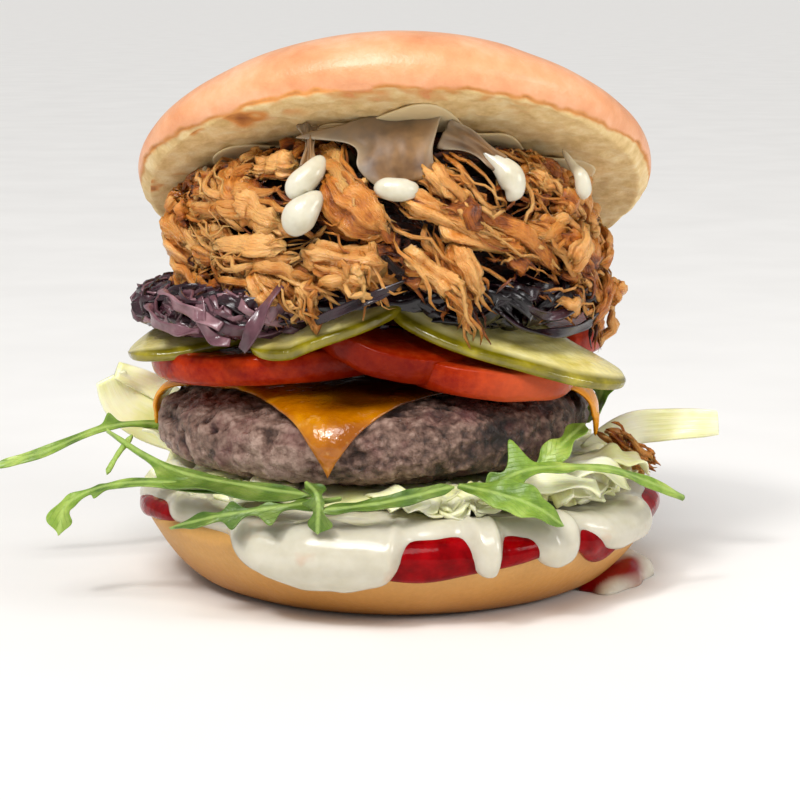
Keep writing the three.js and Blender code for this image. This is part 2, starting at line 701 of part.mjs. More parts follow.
function porkStrand(number, growth) {
  const azimuth = number * GOLDEN_ANGLE + draw(number, 11, -6, 6);
  const elevation = draw(number, 12, -42, 42);
  const turn = draw(number, 13, 8, 22) * Math.sign(draw(number, 14, -1, 1));
  const fall = draw(number, 15, -14, 22);
  const radius = draw(number, 16, 1.6, 3);
  const points = [
    porkPoint(azimuth - turn, elevation + fall).add(around(azimuth - turn, -SHRED_ROOT, 0)),
    porkPoint(azimuth, elevation).add(around(azimuth, draw(number, 17, 0.4, 2.2), 0)),
    porkPoint(azimuth + turn, elevation - fall).add(around(azimuth + turn, -SHRED_ROOT, 0)),
  ];
  return strand({ points, face: around(azimuth, 1, 0.2), radius, flatness: 0.7 }, growth);
}

// Strands that hang over the cabbage at the two sides and in front.
const porkHanging = [
  [at(-38, -14, 79), at(-50, -14, 74.5), at(-56, -14, 68.5)],
  [at(-36, -2, 76), at(-51, -2, 71), at(-57, 0, 65.5)],
  [at(38, -13, 75), at(47.5, -14, 65), at(49.5, -13, 53.5)],
  [at(36, -20, 72), at(43.5, -23, 64), at(46.5, -22, 56.5)],
  [at(6, -40, 74), at(11, -48.5, 67), at(15, -49, 57)],
  [at(-24, -36, 74), at(-25, -45, 68), at(-24.5, -46, 60.5)],
];

function porkShape(growth) {
  const pieces = [ball(24, 8, (azimuth, elevation) => porkPoint(azimuth, elevation, growth))];
  for (let i = 0; i < PORK_STRANDS; i += 1) {
    pieces.push(porkStrand(i, growth));
  }
  for (const points of porkHanging) {
    pieces.push(strand({ points, face: at(0, -1, 0.4), radius: PORK_HANGING_RADIUS }, growth));
  }
  return fused(pieces);
}

place("pulled_pork", PORK, porkShape, [crown, cabbage, mayoUpper, ...pickles, ...tomatoes]);

// A scrap of pork that fell on the salad at the right

const scrapLump = { centre: at(50, -6, 28.5), radii: at(6, 4, 3), squareness: 2, sides: 10, rings: 6 };
const scrapStrand = {
  points: [at(46, -6, 32), at(51, -8, 29), at(57, -9, 24.5)],
  face: at(0, -1, 0.5),
  radius: 2,
};

function scrapShape(growth) {
  return fused([plumpBall(scrapLump, growth), strand(scrapStrand, growth)]);
}

place("pork_scrap", PORK, scrapShape, [heel, ketchup, mayoLower, iceberg, patty, ...leaves]);

export default burger;
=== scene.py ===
"""A tall pulled pork and beef burger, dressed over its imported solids.

Lengths are in millimetres until a mesh is made of them. An azimuth is in degrees about the
upright axis: 0 faces the front and 90 faces the right.
"""

import itertools

import bpy
import numpy as np
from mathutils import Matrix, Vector


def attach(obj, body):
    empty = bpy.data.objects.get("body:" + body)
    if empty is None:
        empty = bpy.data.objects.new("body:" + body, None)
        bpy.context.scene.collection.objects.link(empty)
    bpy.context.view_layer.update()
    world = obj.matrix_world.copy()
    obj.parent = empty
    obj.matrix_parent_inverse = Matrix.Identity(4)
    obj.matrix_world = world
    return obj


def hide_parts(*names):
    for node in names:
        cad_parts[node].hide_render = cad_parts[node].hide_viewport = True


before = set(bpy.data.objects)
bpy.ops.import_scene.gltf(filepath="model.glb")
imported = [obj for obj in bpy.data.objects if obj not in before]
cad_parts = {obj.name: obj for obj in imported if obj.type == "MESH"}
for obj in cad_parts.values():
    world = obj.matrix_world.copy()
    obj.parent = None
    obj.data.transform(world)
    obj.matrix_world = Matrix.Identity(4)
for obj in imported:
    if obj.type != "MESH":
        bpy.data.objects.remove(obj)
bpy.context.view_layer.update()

# Lower bun: the bottom half of a soft round roll, cut flat across the top.
# Wheat dough with a thin golden crust, which rose out over its own base in the oven.

HEEL_RADIUS = 56.6
HEEL_BASE_RADIUS = 40
HEEL_SIDE_HEIGHT = 15.4
HEEL_HEIGHT = 18
HEEL_RIM = 3.4
HEEL_ROWS = 170
HEEL_COLUMNS = 260


def softened(values, width):
    """Running mean down each column over a width of rows, with the end rows repeated."""
    padded = np.pad(values, ((width // 2, width - 1 - width // 2), (0, 0)), mode="edge")
    return np.stack([np.convolve(column, np.ones(width) / width, "valid") for column in padded.T], 1)


def evened(radius, level, steps):
    """Arc lengths in even steps along an outline, and its places there."""
    arc = np.cumsum(np.hypot(np.diff(radius, prepend=0), np.diff(level, prepend=level[0])))
    even = np.linspace(0, arc[-1], steps)
    return even, np.stack([np.interp(even, arc, radius), np.interp(even, arc, level)], 1)


def outward(places):
    """Directions square to an outline, pointing out."""
    along = np.gradient(places, axis=0)
    along /= np.linalg.norm(along, axis=1, keepdims=True)
    return np.stack([-along[:, 1], along[:, 0]], 1)


def heel_outline():
    """Outline from the middle of the cut face to the middle of the base: a flat, a quarter
    ellipse at the rim, a side whose height is the square of its share of the way out, and a
    flat, softened by a running mean. Gives arc lengths, places and outward directions."""
    turn = np.linspace(0, np.pi / 2, 40)
    share = np.linspace(1, 0, 100)
    cut = np.linspace(0, HEEL_RADIUS - HEEL_RIM, 60)
    base = np.linspace(HEEL_BASE_RADIUS, 0, 60)
    rim = HEEL_RADIUS - HEEL_RIM + HEEL_RIM * np.sin(turn)
    side = HEEL_BASE_RADIUS + (HEEL_RADIUS - HEEL_BASE_RADIUS) * share
    rim_level = HEEL_SIDE_HEIGHT + (HEEL_HEIGHT - HEEL_SIDE_HEIGHT) * np.cos(turn)
    radius = np.concatenate([cut, rim, side, base])
    level = np.concatenate([cut * 0 + HEEL_HEIGHT, rim_level, HEEL_SIDE_HEIGHT * share**2, base * 0])
    even, places = evened(radius, level, 800)
    places = softened(places, 12)
    return even, places, outward(places)


def turns(columns):
    """Azimuths of a full turn in even steps."""
    return np.arange(columns) * 360 / columns


def around(azimuth, radius, level):
    """Point at an azimuth, a distance from the axis and a height."""
    angle = np.radians(azimuth)
    return np.stack(np.broadcast_arrays(radius * np.sin(angle), -radius * np.cos(angle), level), -1)


def over(outline, azimuth, arc, height):
    """Point at a height over a round form, an arc length along its outline from the top."""
    even, places, out = outline
    radius = np.interp(arc, even, places[:, 0]) + height * np.interp(arc, even, out[:, 0])
    level = np.interp(arc, even, places[:, 1]) + height * np.interp(arc, even, out[:, 1])
    return around(azimuth, np.maximum(radius, 0), level)


def unevenness(points, size, seed):
    """Smooth noise from -1 to 1: a repeatable value at each corner of a lattice, the fraction of
    a large sine, blended along each axis by a cubic step."""
    cell = np.floor(points / size)
    step = points / size - cell
    step = step * step * (3 - 2 * step)
    total = 0
    for corner in itertools.product((0, 1), repeat=3):
        wave = np.sin((cell + corner) @ np.array([127.1, 311.7, 74.7]) + seed * 53.3) * 43758.5453
        weight = np.prod(np.where(corner, step, 1 - step), axis=-1)
        total = total + weight * (wave - np.floor(wave))
    return 2 * total - 1


def lumps(points, *noises):
    """Sum of smooth noises, each given by its amount, size and seed."""
    return sum(amount * unevenness(points, size, seed) for amount, size, seed in noises)


def ridges(points, size, seed):
    """Noise with sharp ridges: 1 along the lines where the smooth noise is nought."""
    return 1 - 2 * np.abs(unevenness(points, size, seed))


def waves(azimuth, *sines):
    """Sum of sines round a full turn, each given by its amount, count and shift."""
    angle = np.radians(azimuth)
    return sum(amount * np.sin(count * angle + shift) for amount, count, shift in sines)


def bell(value, centre, width, power=2):
    """1 at a centre, fading with a power of the distance from it in widths."""
    return np.exp(-(((value - centre) / width) ** power))


def smoothstep(value, low, high):
    """Cubic step from 0 at low to 1 at high."""
    t = np.clip((value - low) / (high - low), 0, 1)
    return t * t * (3 - 2 * t)


def shell(points, **more):
    """A closed shell from rings of points, or several: four-sided faces between neighbouring rings
    and a cap on each end. Steps along, then round, turn about the outward normal."""
    rings, sides = points.shape[-3:-1]
    ring = np.arange(rings - 1)[:, None] * sides
    here = np.arange(sides)
    there = (here + 1) % sides
    walls = np.stack([ring + here, ring + sides + here, ring + sides + there, ring + there], -1)
    caps = np.stack([here, (rings - 1) * sides + here[::-1]])
    shift = np.arange(0, points.size // 3, rings * sides)[:, None, None]
    faces = [(walls.reshape(1, -1, 4) + shift).reshape(-1, 4), (caps + shift).reshape(-1, sides)]
    return dict(points=points, faces=faces, **more)


def joined(*shells):
    """Several shells as one, with all that they hold for each point."""
    held = {key: [] for key in shells[0]}
    count = 0
    for piece in shells:
        grid = piece["points"].ndim - 1
        held["faces"] += [faces + count for faces in piece["faces"]]
        for key in held.keys() - {"faces"}:
            held[key].append(piece[key].reshape(-1, *piece[key].shape[grid:]))
        count += piece["points"].size // 3
    return {key: parts if key == "faces" else np.concatenate(parts) for key, parts in held.items()}


def stood(name, data):
    """Makes an object of its data and puts it in the scene."""
    thing = bpy.data.objects.new(name, data)
    bpy.context.scene.collection.objects.link(thing)
    return thing


def put(name, nodes, slot, finish, points, faces, uv=None, **readings):
    """Makes a smooth mesh piece of points and faces, with a value for each point under each
    reading's name and places on a flat map, which stands for CAD nodes."""
    mesh = bpy.data.meshes.new(name)
    places = points.reshape(-1, 3)
    mesh.vertices.add(len(places))
    mesh.vertices.foreach_set("co", (places * 0.001).ravel())
    corners = np.concatenate([face.ravel() for face in faces])
    sizes = np.concatenate([np.full(len(face), face.shape[1]) for face in faces])
    mesh.loops.add(len(corners))
    mesh.loops.foreach_set("vertex_index", corners)
    mesh.polygons.add(len(sizes))
    mesh.polygons.foreach_set("loop_start", np.cumsum(sizes) - sizes)
    mesh.polygons.foreach_set("use_smooth", np.ones(len(sizes), bool))
    mesh.update(calc_edges=True)
    for key, values in readings.items():
        layer = mesh.attributes.new(key, "FLOAT", "POINT")
        layer.data.foreach_set("value", np.ascontiguousarray(values, np.float32).ravel())
    if uv is not None:
        layer = mesh.uv_layers.new(name="map")
        layer.uv.foreach_set("vector", uv.reshape(-1, 2)[corners].astype(np.float32).ravel())
    mesh.materials.append(finish.material)
    piece = stood(name, mesh)
    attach(piece, "root")
    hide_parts(*nodes)


def colour(red, green, blue):
    """Linear colour of screen values from 0 to 255."""
    screen = np.array([red, green, blue]) / 255
    linear = np.where(screen <= 0.04045, screen / 12.92, ((screen + 0.055) / 1.055) ** 2.4)
    return (*linear.tolist(), 1)


class Finish:
    """A material's shader nodes, patterned on the piece's own place in millimetres."""

    def __init__(self, name, **sockets):
        self.material = bpy.data.materials.new(name)
        self.material.use_nodes = True
        self.tree = self.material.node_tree
        self.skin = self.tree.nodes["Principled BSDF"]
        own = self.node("TexCoord").outputs
        scaled = self.node("VectorMath", {0: own["Object"], "Scale": 1000}, operation="SCALE")
        self.place = scaled.outputs[0]
        self.map = own["UV"]
        self.set(**sockets)

    def node(self, kind, values=None, **settings):
        """Adds a node, sets its settings, and links or sets its inputs."""
        made = self.tree.nodes.new("ShaderNode" + kind)
        for key, value in settings.items():
            setattr(made, key, value)
        for key, value in (values or {}).items():
            self.give(made.inputs[key], value)
        return made

    def give(self, socket, value):
        """Links a socket to another one, or sets it."""
        if isinstance(value, bpy.types.NodeSocket):
            self.tree.links.new(value, socket)
        else:
            socket.default_value = value

    def set(self, **sockets):
        """Links or sets the surface's sockets, named in small letters with low lines."""
        names = {socket.name.lower().replace(" ", "_"): socket for socket in self.skin.inputs}
        for key, value in sockets.items():
            self.give(names[key], value)

    def soft(self, weight, radius, scale=0.002):
        """Lets light in under the surface, further for some colours than for others."""
        self.set(subsurface_weight=weight, subsurface_radius=radius, subsurface_scale=scale)

    def reading(self, key):
        """A value that the mesh holds for each point."""
        return self.node("Attribute", attribute_name=key).outputs["Fac"]

    def stretched(self, scale):
        """Places on the piece's flat map, stretched."""
        return self.node("Mapping", {"Vector": self.map, "Scale": scale}).outputs[0]

    def grain(self, size, detail=3, rough=0.55, vector=None):
        """Cloudy noise around 0.5 with lumps of a size."""
        values = {"Vector": vector or self.place, "Scale": 1 / size, "Detail": detail, "Roughness": rough}
        return self.node("TexNoise", values).outputs["Fac"]

    def cells(self, size, vector):
        """Distance to scattered points that lie about a size apart."""
        return self.node("TexVoronoi", {"Vector": vector, "Scale": 1 / size}).outputs["Distance"]

    def ramp(self, factor, *stops):
        """Screen colours or grey values, each behind its place along a factor from 0 to 1."""
        made = self.node("ValToRGB", {"Fac": factor})
        elements = made.color_ramp.elements
        for place, *_ in stops[2:]:
            elements.new(place)
        for element, (place, *shade) in zip(elements, stops):
            element.position = place
            element.color = colour(*shade) if len(shade) == 3 else (*shade * 3, 1)
        return made.outputs["Color"]

    def mottle(self, size, detail, *stops):
        """Colours or grey values along cloudy noise with lumps of a size."""
        return self.ramp(self.grain(size, detail), *stops)

    def mix(self, factor, one, other, way="MIX"):
        """Two colours blended by a factor, the other one a socket or a screen colour."""
        values = {0: factor, 6: one, 7: colour(*other) if isinstance(other, tuple) else other}
        return self.node("Mix", values, data_type="RGBA", blend_type=way).outputs[2]

    def sum(self, one, other, way="ADD"):
        """Two values added, or put together in another way."""
        return self.node("Math", {0: one, 1: other}, operation=way).outputs[0]

    def times(self, value, weight):
        """A value times its weight."""
        return self.sum(value, weight, "MULTIPLY")

    def relief(self, height, depth):
        """Bumps of a depth in millimetres from a grey height."""
        return self.node("Bump", {"Height": height, "Distance": depth * 0.001, "Strength": 1}).outputs[0]


golden = Finish("golden_bread", roughness=0.55, specular_ior_level=0.35)
golden_height = golden.node("SeparateXYZ", {0: golden.place}).outputs["Z"]
golden_low = golden.node("MapRange", {"Value": golden_height, 1: 0.5, 2: 13}).outputs[0]
golden_side = golden.ramp(
    golden.sum(golden_low, golden.times(golden.grain(14), 0.25)),
    (0.0, 108, 64, 22),
    (0.22, 164, 108, 46),
    (0.7, 196, 140, 70),
    (1.0, 206, 154, 86),
)
golden_speck = golden.mottle(1.1, 2, (0.35, 0.94), (0.65, 1.0))
golden.set(
    base_color=golden.mix(1, golden_side, golden_speck, "MULTIPLY"),
    normal=golden.relief(golden.grain(1.6, 4), 0.25),
)
golden.soft(0.08, (1, 0.5, 0.25))

heel = heel_outline()
heel_arcs = np.linspace(0.4, heel[0][-1] - 0.4, HEEL_ROWS)[:, None]
heel_even = over(heel, turns(HEEL_COLUMNS), heel_arcs, 0)
heel_lumps = lumps(heel_even, (0.35, 17, 1), (0.12, 5, 2)) * np.clip(heel_even[..., 2] / 3, 0, 1)
heel_shape = shell(over(heel, turns(HEEL_COLUMNS), heel_arcs, heel_lumps))
put("bun_heel_bread", ["bun_heel"], "bun", golden, **heel_shape)

# Ketchup: a spoonful of thick tomato sauce spread on the cut face.
# It has been pressed out over the rim all round and runs a little way down the bread.

RIM_ARC = HEEL_RADIUS - 1
KETCHUP_DEPTH = 2.1
KETCHUP_UNDER = -0.3
KETCHUP_LIP = 2.0
ketchup_edge = np.array([
    (-180, 3), (-150, 4), (-120, 2), (-100, 2.5), (-80, 2.5), (-66, 2), (-58, 0.5), (-50, -3), (-32, -3),
    (-20, 3), (-10, 6), (-3, 7.6), (5, 7.6), (12, 7), (20, 6), (30, 3.6), (38, 2.6), (42, 4), (45, 7),
    (48, 8.5), (51, 7.5), (55, 4), (62, 3), (70, 3), (80, 2.5), (100, 2), (125, 3.5), (150, 5),
    (165, 5.5), (180, 3),
])


def edge_length(azimuth, edge, soft):
    """Length of a sauce's edge beyond the rim: a line through its measured places, with its
    corners rounded by a running mean over a number of degrees."""
    near = np.asarray(azimuth)[..., None] + np.linspace(-soft / 2, soft / 2, 7)
    return np.interp((near + 180) % 360 - 180, *edge.T).mean(-1)


def poured(length, depth, under, lip, columns=520, rows=64):
    """Sauce lying on the bun out to length(azimuth) past its rim, with a rounded edge of a lip's
    width, and depth(azimuth, arc, inset) above its underside, inset being the distance to the edge."""
    azimuth = turns(columns)
    edge = RIM_ARC + length(azimuth)
    slope = (np.roll(edge, -1) - np.roll(edge, 1)) / (4 * np.pi * HEEL_RADIUS / columns)
    inner = RIM_ARC - 7
    crowding = np.sin(np.linspace(0, np.pi / 2, rows))[:, None]
    middle = np.linspace(1, inner, 9)[:-1, None] + 0 * azimuth
    arc = np.concatenate([middle, inner + (edge - inner) * crowding])
    inset = (edge - arc) / np.sqrt(1 + slope**2)
    rounded = np.sqrt(1 - (1 - np.clip(inset / lip, 0, 1)) ** 2)
    upper = over(heel, azimuth, arc, under + depth(azimuth, arc, inset) * rounded)
    lower = over(heel, azimuth, arc, under)
    return shell(np.concatenate([upper, lower[::-1]]))


def ketchup_length(azimuth):
    """Length of the spread, with small waves round its edge."""
    return edge_length(azimuth, ketchup_edge, 6) + waves(azimuth, (0.35, 9, 1), (0.25, 17, 0))


def ketchup_depth(azimuth, arc, inset):
    """Depth of the spread, in slow waves and a little deeper behind its edge."""
    slow = 0.35 * unevenness(over(heel, azimuth, arc, 0), 9, 4)
    return KETCHUP_DEPTH + slow + 0.4 * bell(inset, 2.5, 1.6)


ketchup = Finish("ketchup_gloss", roughness=0.12, specular_ior_level=0.1)
ketchup.set(
    base_color=ketchup.mottle(3.5, 4, (0.3, 100, 0, 3), (0.5, 128, 0, 5), (0.7, 150, 3, 10)),
    normal=ketchup.relief(ketchup.grain(3.2, 2), 0.2),
)
ketchup.soft(0.15, (1, 0.1, 0.05))
ketchup_shape = poured(ketchup_length, ketchup_depth, KETCHUP_UNDER, KETCHUP_LIP)
put("ketchup_spread", ["ketchup"], "ketchup", ketchup, **ketchup_shape)

# Lower mayonnaise: squeezed on over the ketchup, so that it drips down the front in tongues.
# It is thick, smooth and glossy, with soft folds where it was pressed out.

MAYO_DEPTH = 3.9
MAYO_UNDER = 0.1
MAYO_LIP = 3.2
MAYO_THIN_SIDE = 68
MAYO_BLUR = (1, 0.8, 0.5)
mayo_edge = np.array([
    (-180, 1), (-172, 1), (-150, -1), (-142, 1), (-138, 8), (-132, 10), (-126, 8), (-121, 1), (-100, -0.5),
    (-84, 1), (-76, 0.5), (-68, -0.5), (-56, 0), (-46, -0.5), (-39, 0.5), (-35, 2.5), (-30, 5.5), (-25, 8),
    (-20, 9.8), (-16, 10.3), (-12, 9.9), (-8, 8.6), (-4, 7.8), (-1.8, 6.6), (0, 3), (1.2, 0), (3, -1),
    (8, 0), (12, -0.6), (13.6, 0), (14.4, 3.4), (15.4, 5.0), (17.5, 5.9), (19.6, 5.0), (20.6, 3.4),
    (21.4, 0.2), (24, -0.3), (28, 0.4), (29.2, 3), (31, 5), (34, 5.9), (37, 5.3), (39, 3), (40.4, 0.8),
    (42, 0.8), (44, 2), (48, 4), (54, 5.2), (60, 5.8), (65, 5.4), (68, 3.8), (71, 1.5), (74, 0),
    (80, -0.5), (90, -0.5), (98, 0), (108, 1), (112, 7), (118, 9), (123, 7), (127, 1), (150, -0.8),
    (160, 1), (165, 5), (169, 6), (173, 3), (180, 1),
])


def swelling(azimuth, centre, spread):
    """1 at a centre, fading with the fourth power of the turn away from it."""
    return bell((azimuth - centre + 180) % 360 - 180, 0, spread, 4)


def mayo_length(azimuth):
    """Length of the spread: the tongues and small waves round the rim."""
    return edge_length(azimuth, mayo_edge, 2) + waves(azimuth, (0.3, 13, 2), (0.25, 29, 0))


def mayo_depth(azimuth, arc, inset):
    """Depth of the spread: lumps, and a bulge behind the end of each tongue."""
    place = over(heel, azimuth, arc, 0)
    bulge = bell(inset, 3.5, 2.6) * np.clip(edge_length(azimuth, mayo_edge, 2) / 8, 0, 1)
    folds = ridges(place * (1, 1, 0.6), 7, 6)
    uneven = 0.7 * folds + lumps(place, (0.6, 9, 7), (0.1, 4, 8)) + 0.8 * bulge
    return (MAYO_DEPTH + uneven) * (1 - 0.4 * swelling(azimuth, MAYO_THIN_SIDE, 26))


mayo = Finish("mayonnaise_gloss", roughness=0.17, specular_ior_level=0.5)
mayo_stain = mayo.mottle(9, 3, (0.63, 0.0), (0.8, 0.5))
mayo_cream = mayo.mottle(6, 3, (0.3, 192, 185, 164), (0.6, 204, 198, 180))
mayo.set(
    base_color=mayo.mix(mayo_stain, mayo_cream, (196, 148, 116)),
    normal=mayo.relief(mayo.grain(5, 2), 0.12),
)
mayo.soft(0.3, MAYO_BLUR)
mayo_shape = poured(mayo_length, mayo_depth, MAYO_UNDER, MAYO_LIP)
put("mayo_lower_spread", ["mayo_lower"], "mayonnaise", mayo, **mayo_shape)

# Sauce spill: mayonnaise that ran off the bun and lies beside it as a low puddle.
# It carried some ketchup with it, which shows as a red curl.

SPILL_SIZE = np.array([8.4, 11.5, 4.6])
SPILL_CENTRE = np.array([46.5, -12.5, 0.3])
SPILL_LEAN = 0.3


def spill():
    """A low dome on an uneven oval that leans with its length, flat underneath. The curl reading
    is 1 along a sine across its front."""
    rise = np.radians(np.linspace(88, -88, 34))[:, None]
    uneven = 1 + waves(turns(90), (0.1, 3, 1), (0.06, 7, 0))
    points = around(turns(90), np.cos(rise) ** 0.7 * uneven, np.sin(rise))
    across = points[..., 0] - 0.1
    along = points[..., 1] + 0.5
    curl = bell(across, 0, 0.75, 4) * bell(along, 0.3 * np.sin(3 * across), 0.36)
    points[..., 2] *= 1 + 0.45 * points[..., 1]
    points = points * SPILL_SIZE
    points[..., 0] += SPILL_LEAN * points[..., 1]
    points = points + SPILL_CENTRE
    points[..., 2] += 0.5 * unevenness(points, 4, 9) * (points[..., 2] > 1)
    points[..., 2] = np.maximum(points[..., 2], 0.05)
    return shell(points, curl=np.clip(1.7 * curl, 0, 1))


spilled = Finish("spilled_sauce", roughness=0.2, specular_ior_level=0.45)
spilled_cream = spilled.mottle(5, 3, (0.3, 196, 186, 164), (0.6, 220, 214, 198))
spilled.set(
    base_color=spilled.mix(spilled.reading("curl"), spilled_cream, (140, 0, 8)),
    normal=spilled.relief(spilled.grain(4, 2), 0.15),
)
spilled.soft(0.3, MAYO_BLUR)
put("sauce_spill_puddle", ["sauce_spill"], "mayonnaise", spilled, **spill())

# Iceberg salad: crisp pale leaves cut into shreds and laid on the sauce as a bed.
# The patty presses them down, and the loose ends stick out all round.

ICEBERG_RADIUS = 45
ICEBERG_HEIGHT = 24
ICEBERG_HALF_DEPTH = 3
ICEBERG_THICKNESS = 1.0
ICEBERG_ENDS = 84
STANDING_LEAVES = 3


def curve(points, steps):
    """Smooth path through the points of each row: a cubic between neighbours whose slope at a
    point follows the step between the points beside it."""
    points = np.asarray(points, float)
    first = 2 * points[..., :1, :] - points[..., 1:2, :]
    last = 2 * points[..., -1:, :] - points[..., -2:-1, :]
    padded = np.concatenate([first, points, last], -2)
    spans = points.shape[-2] - 1
    place = np.linspace(0, spans, steps)
    index = np.minimum(place.astype(int), spans - 1)
    t = (place - index)[:, None]
    a, b, c, d = (np.take(padded, index + k, -2) for k in range(4))
    slope = c - a
    curl = 2 * a - 5 * b + 4 * c - d
    twist = 3 * b - a - 3 * c + d
    return b + 0.5 * t * (slope + t * (curl + t * twist))


def oval(sides, power):
    """Places across and up round a section: cosine, and sine with its size to a power, which is
    round at 1 and flatter toward 0."""
    turn = np.linspace(0, 2 * np.pi, sides, endpoint=False)
    return np.cos(turn), np.sign(np.sin(turn)) * np.abs(np.sin(turn)) ** power


def carried(path, face, sideways, upward):
    """A section carried along a path: each ring's points are offset sideways and toward the face,
    in the plane square to the path."""
    along = np.gradient(path, axis=-2)
    along /= np.linalg.norm(along, axis=-1, keepdims=True)
    up = face - (face * along).sum(-1, keepdims=True) * along
    up /= np.linalg.norm(up, axis=-1, keepdims=True)
    side = np.cross(along, up)
    offset = sideways[..., None] * side[..., None, :] + upward[..., None] * up[..., None, :]
    return path[..., None, :] + offset


def mapped(along, across, like):
    """Places on a piece's flat map: the share of the way along it and across it."""
    shape = like.shape[:-1]
    return np.stack([np.broadcast_to(along, shape), np.broadcast_to(across, shape)], -1)


def ribbons(points, face, width, thick, rng, sides, steps, ruffle, cup, taper, twist):
    """Flat shreds along paths: an oval section, narrower toward both ends, cupped by the square of
    the place across it, ruffled by sines along it and twisted evenly from end to end."""
    path = curve(points, steps)
    each = (len(path), 1, 1)
    t = np.linspace(0, 1, steps)[:, None]
    across, flat = oval(sides, 0.5)
    width = np.reshape(width, each) / 2 * (1 - taper * np.abs(2 * t - 1) ** 3)
    phase = rng.uniform(0, 6.28, each)
    beat = rng.uniform(6, 16, each)
    waves = ruffle * np.sin(beat * t + phase + 1.5 * across) * (0.4 + np.abs(across))
    upward = flat * thick / 2 + cup * width * across**2 + waves
    wring = rng.uniform(-twist, twist, each) * (2 * t - 1)
    sideways = width * across * np.cos(wring) - upward * np.sin(wring)
    upward = width * across * np.sin(wring) + upward * np.cos(wring)
    made = carried(path, np.asarray(face, float).reshape(-1, 1, 3), sideways, upward)
    return shell(made, uv=mapped(t, across / 2 + 0.5, made))


def iceberg_bed():
    """Bed of pressed shreds: a low round cushion with a ruffled edge."""
    rise = np.radians(np.linspace(89, -89, 40))[:, None]
    out = np.cos(rise) ** 0.667
    up = np.sign(rise) * np.abs(np.sin(rise)) ** 0.667
    points = around(turns(200), ICEBERG_RADIUS * out, ICEBERG_HEIGHT + ICEBERG_HALF_DEPTH * up)
    edge = np.clip(out * 3 - 2, 0, 1)
    bumps = np.stack([unevenness(points, 5, 20 + k) for k in range(3)], -1)
    points = points + bumps * (1.6, 1.6, 0.8) * edge[..., None]
    return shell(points, uv=mapped(0.5, 0.5, points))


iceberg_shown = [
    ([(42, 3, 25), (51, 4, 30.5), (60, 2, 32.2), (71, -1, 33.2)], 7.5),
    ([(-42, 15, 25), (-56, 17, 29.5), (-63, 16, 34), (-66.5, 15, 41)], 10),
    ([(-42, 18, 27), (-51, 19, 34), (-57, 17.5, 38.5), (-65, 15, 42.6)], 5.5),
    ([(-38, 4, 24.2), (-49, 5, 26.4), (-54, 6, 29), (-58, 6, 31)], 4.5),
    ([(-36, -16, 24.2), (-46, -19, 26), (-51, -21, 25.5), (-54, -22, 24)], 5),
    ([(22, -38, 25), (29, -40, 27.5), (35, -39, 28), (41, -36, 25.5)], 6),
    ([(30, -30, 25), (38, -32, 29), (43, -31, 29), (48, -27, 25.5)], 6.5),
    ([(34, -24, 25), (43, -22, 29), (49, -18, 29), (53, -13, 26)], 7),
    ([(-6, -40, 25), (-2, -46, 26.5), (3, -49, 26), (8, -50, 25)], 5),
    ([(20, 38, 25), (24, 44, 28), (29, 48, 28), (34, 50, 26)], 6),
    ([(-20, 38, 25), (-23, 45, 27), (-23, 50, 26), (-22, 55, 24)], 6),
]


def iceberg_scatter(count, rng):
    """Loose ends round the bed: from inside it out past its edge, turning aside as they go. More
    of them lie at the front right than elsewhere."""
    one = (count, 1)
    start = np.where(rng.uniform(0, 1, one) < 0.4, rng.uniform(18, 75, one), rng.uniform(75, 335, one))
    swing = rng.uniform(-24, 24, one)
    out = np.array([36, 43, 47, 50]) + rng.uniform(-2, 3, (count, 4)) * (0.4, 1, 1, 1)
    level = 24.5 + rng.uniform(-1, 2.5, (count, 4)) * (0.3, 1, 1, 1) - np.array([0, 0, 0.3, 1.2])
    return around(start + swing * np.array([0, 0.4, 0.75, 1]), out, level)


def iceberg_shreds(rng):
    """The shreds that show and the loose ends. The standing leaves turn their broad side to the
    front and narrow toward their ends."""
    shown, shown_width = zip(*iceberg_shown)
    paths = np.concatenate([np.array(shown, float), iceberg_scatter(ICEBERG_ENDS, rng)])
    width = np.concatenate([shown_width, rng.uniform(3, 6.5, ICEBERG_ENDS)])
    facing = np.tile((0, -0.5, 1.0), (len(paths), 1))
    facing[:STANDING_LEAVES] = (0.1, -1, 0.3)
    standing = (np.arange(len(paths)) < STANDING_LEAVES).reshape(-1, 1, 1)
    taper = 0.1 + 0.2 * standing
    twist = 0.5 - 0.35 * standing
    return ribbons(paths, facing, width, ICEBERG_THICKNESS, rng, 14, 22, 0.6, 0.12, taper, twist)


iceberg = Finish("iceberg_leaf", roughness=0.3, specular_ior_level=0.5)
iceberg_rib = iceberg.grain(2, 3, vector=iceberg.stretched((3, 14, 1)))
iceberg_tone = iceberg.mottle(11, 3, (0.3, 222, 222, 142), (0.5, 240, 240, 188), (0.7, 248, 248, 220))
iceberg_pale = iceberg.ramp(iceberg_rib, (0.45, 0.0), (0.7, 0.45))
iceberg.set(
    base_color=iceberg.mix(iceberg_pale, iceberg_tone, (246, 248, 226)),
    normal=iceberg.relief(iceberg_rib, 0.3),
)
iceberg.soft(0.35, (0.8, 1, 0.4))
iceberg_shape = joined(iceberg_shreds(np.random.default_rng(11)), iceberg_bed())
put("iceberg_heap", ["iceberg_shreds"], "iceberg", iceberg, **iceberg_shape)

# Rocket: long lobed salad leaves with pale ribs, tucked in under the patty by their stems.
# Each is a thin springy blade that bends under its own weight.

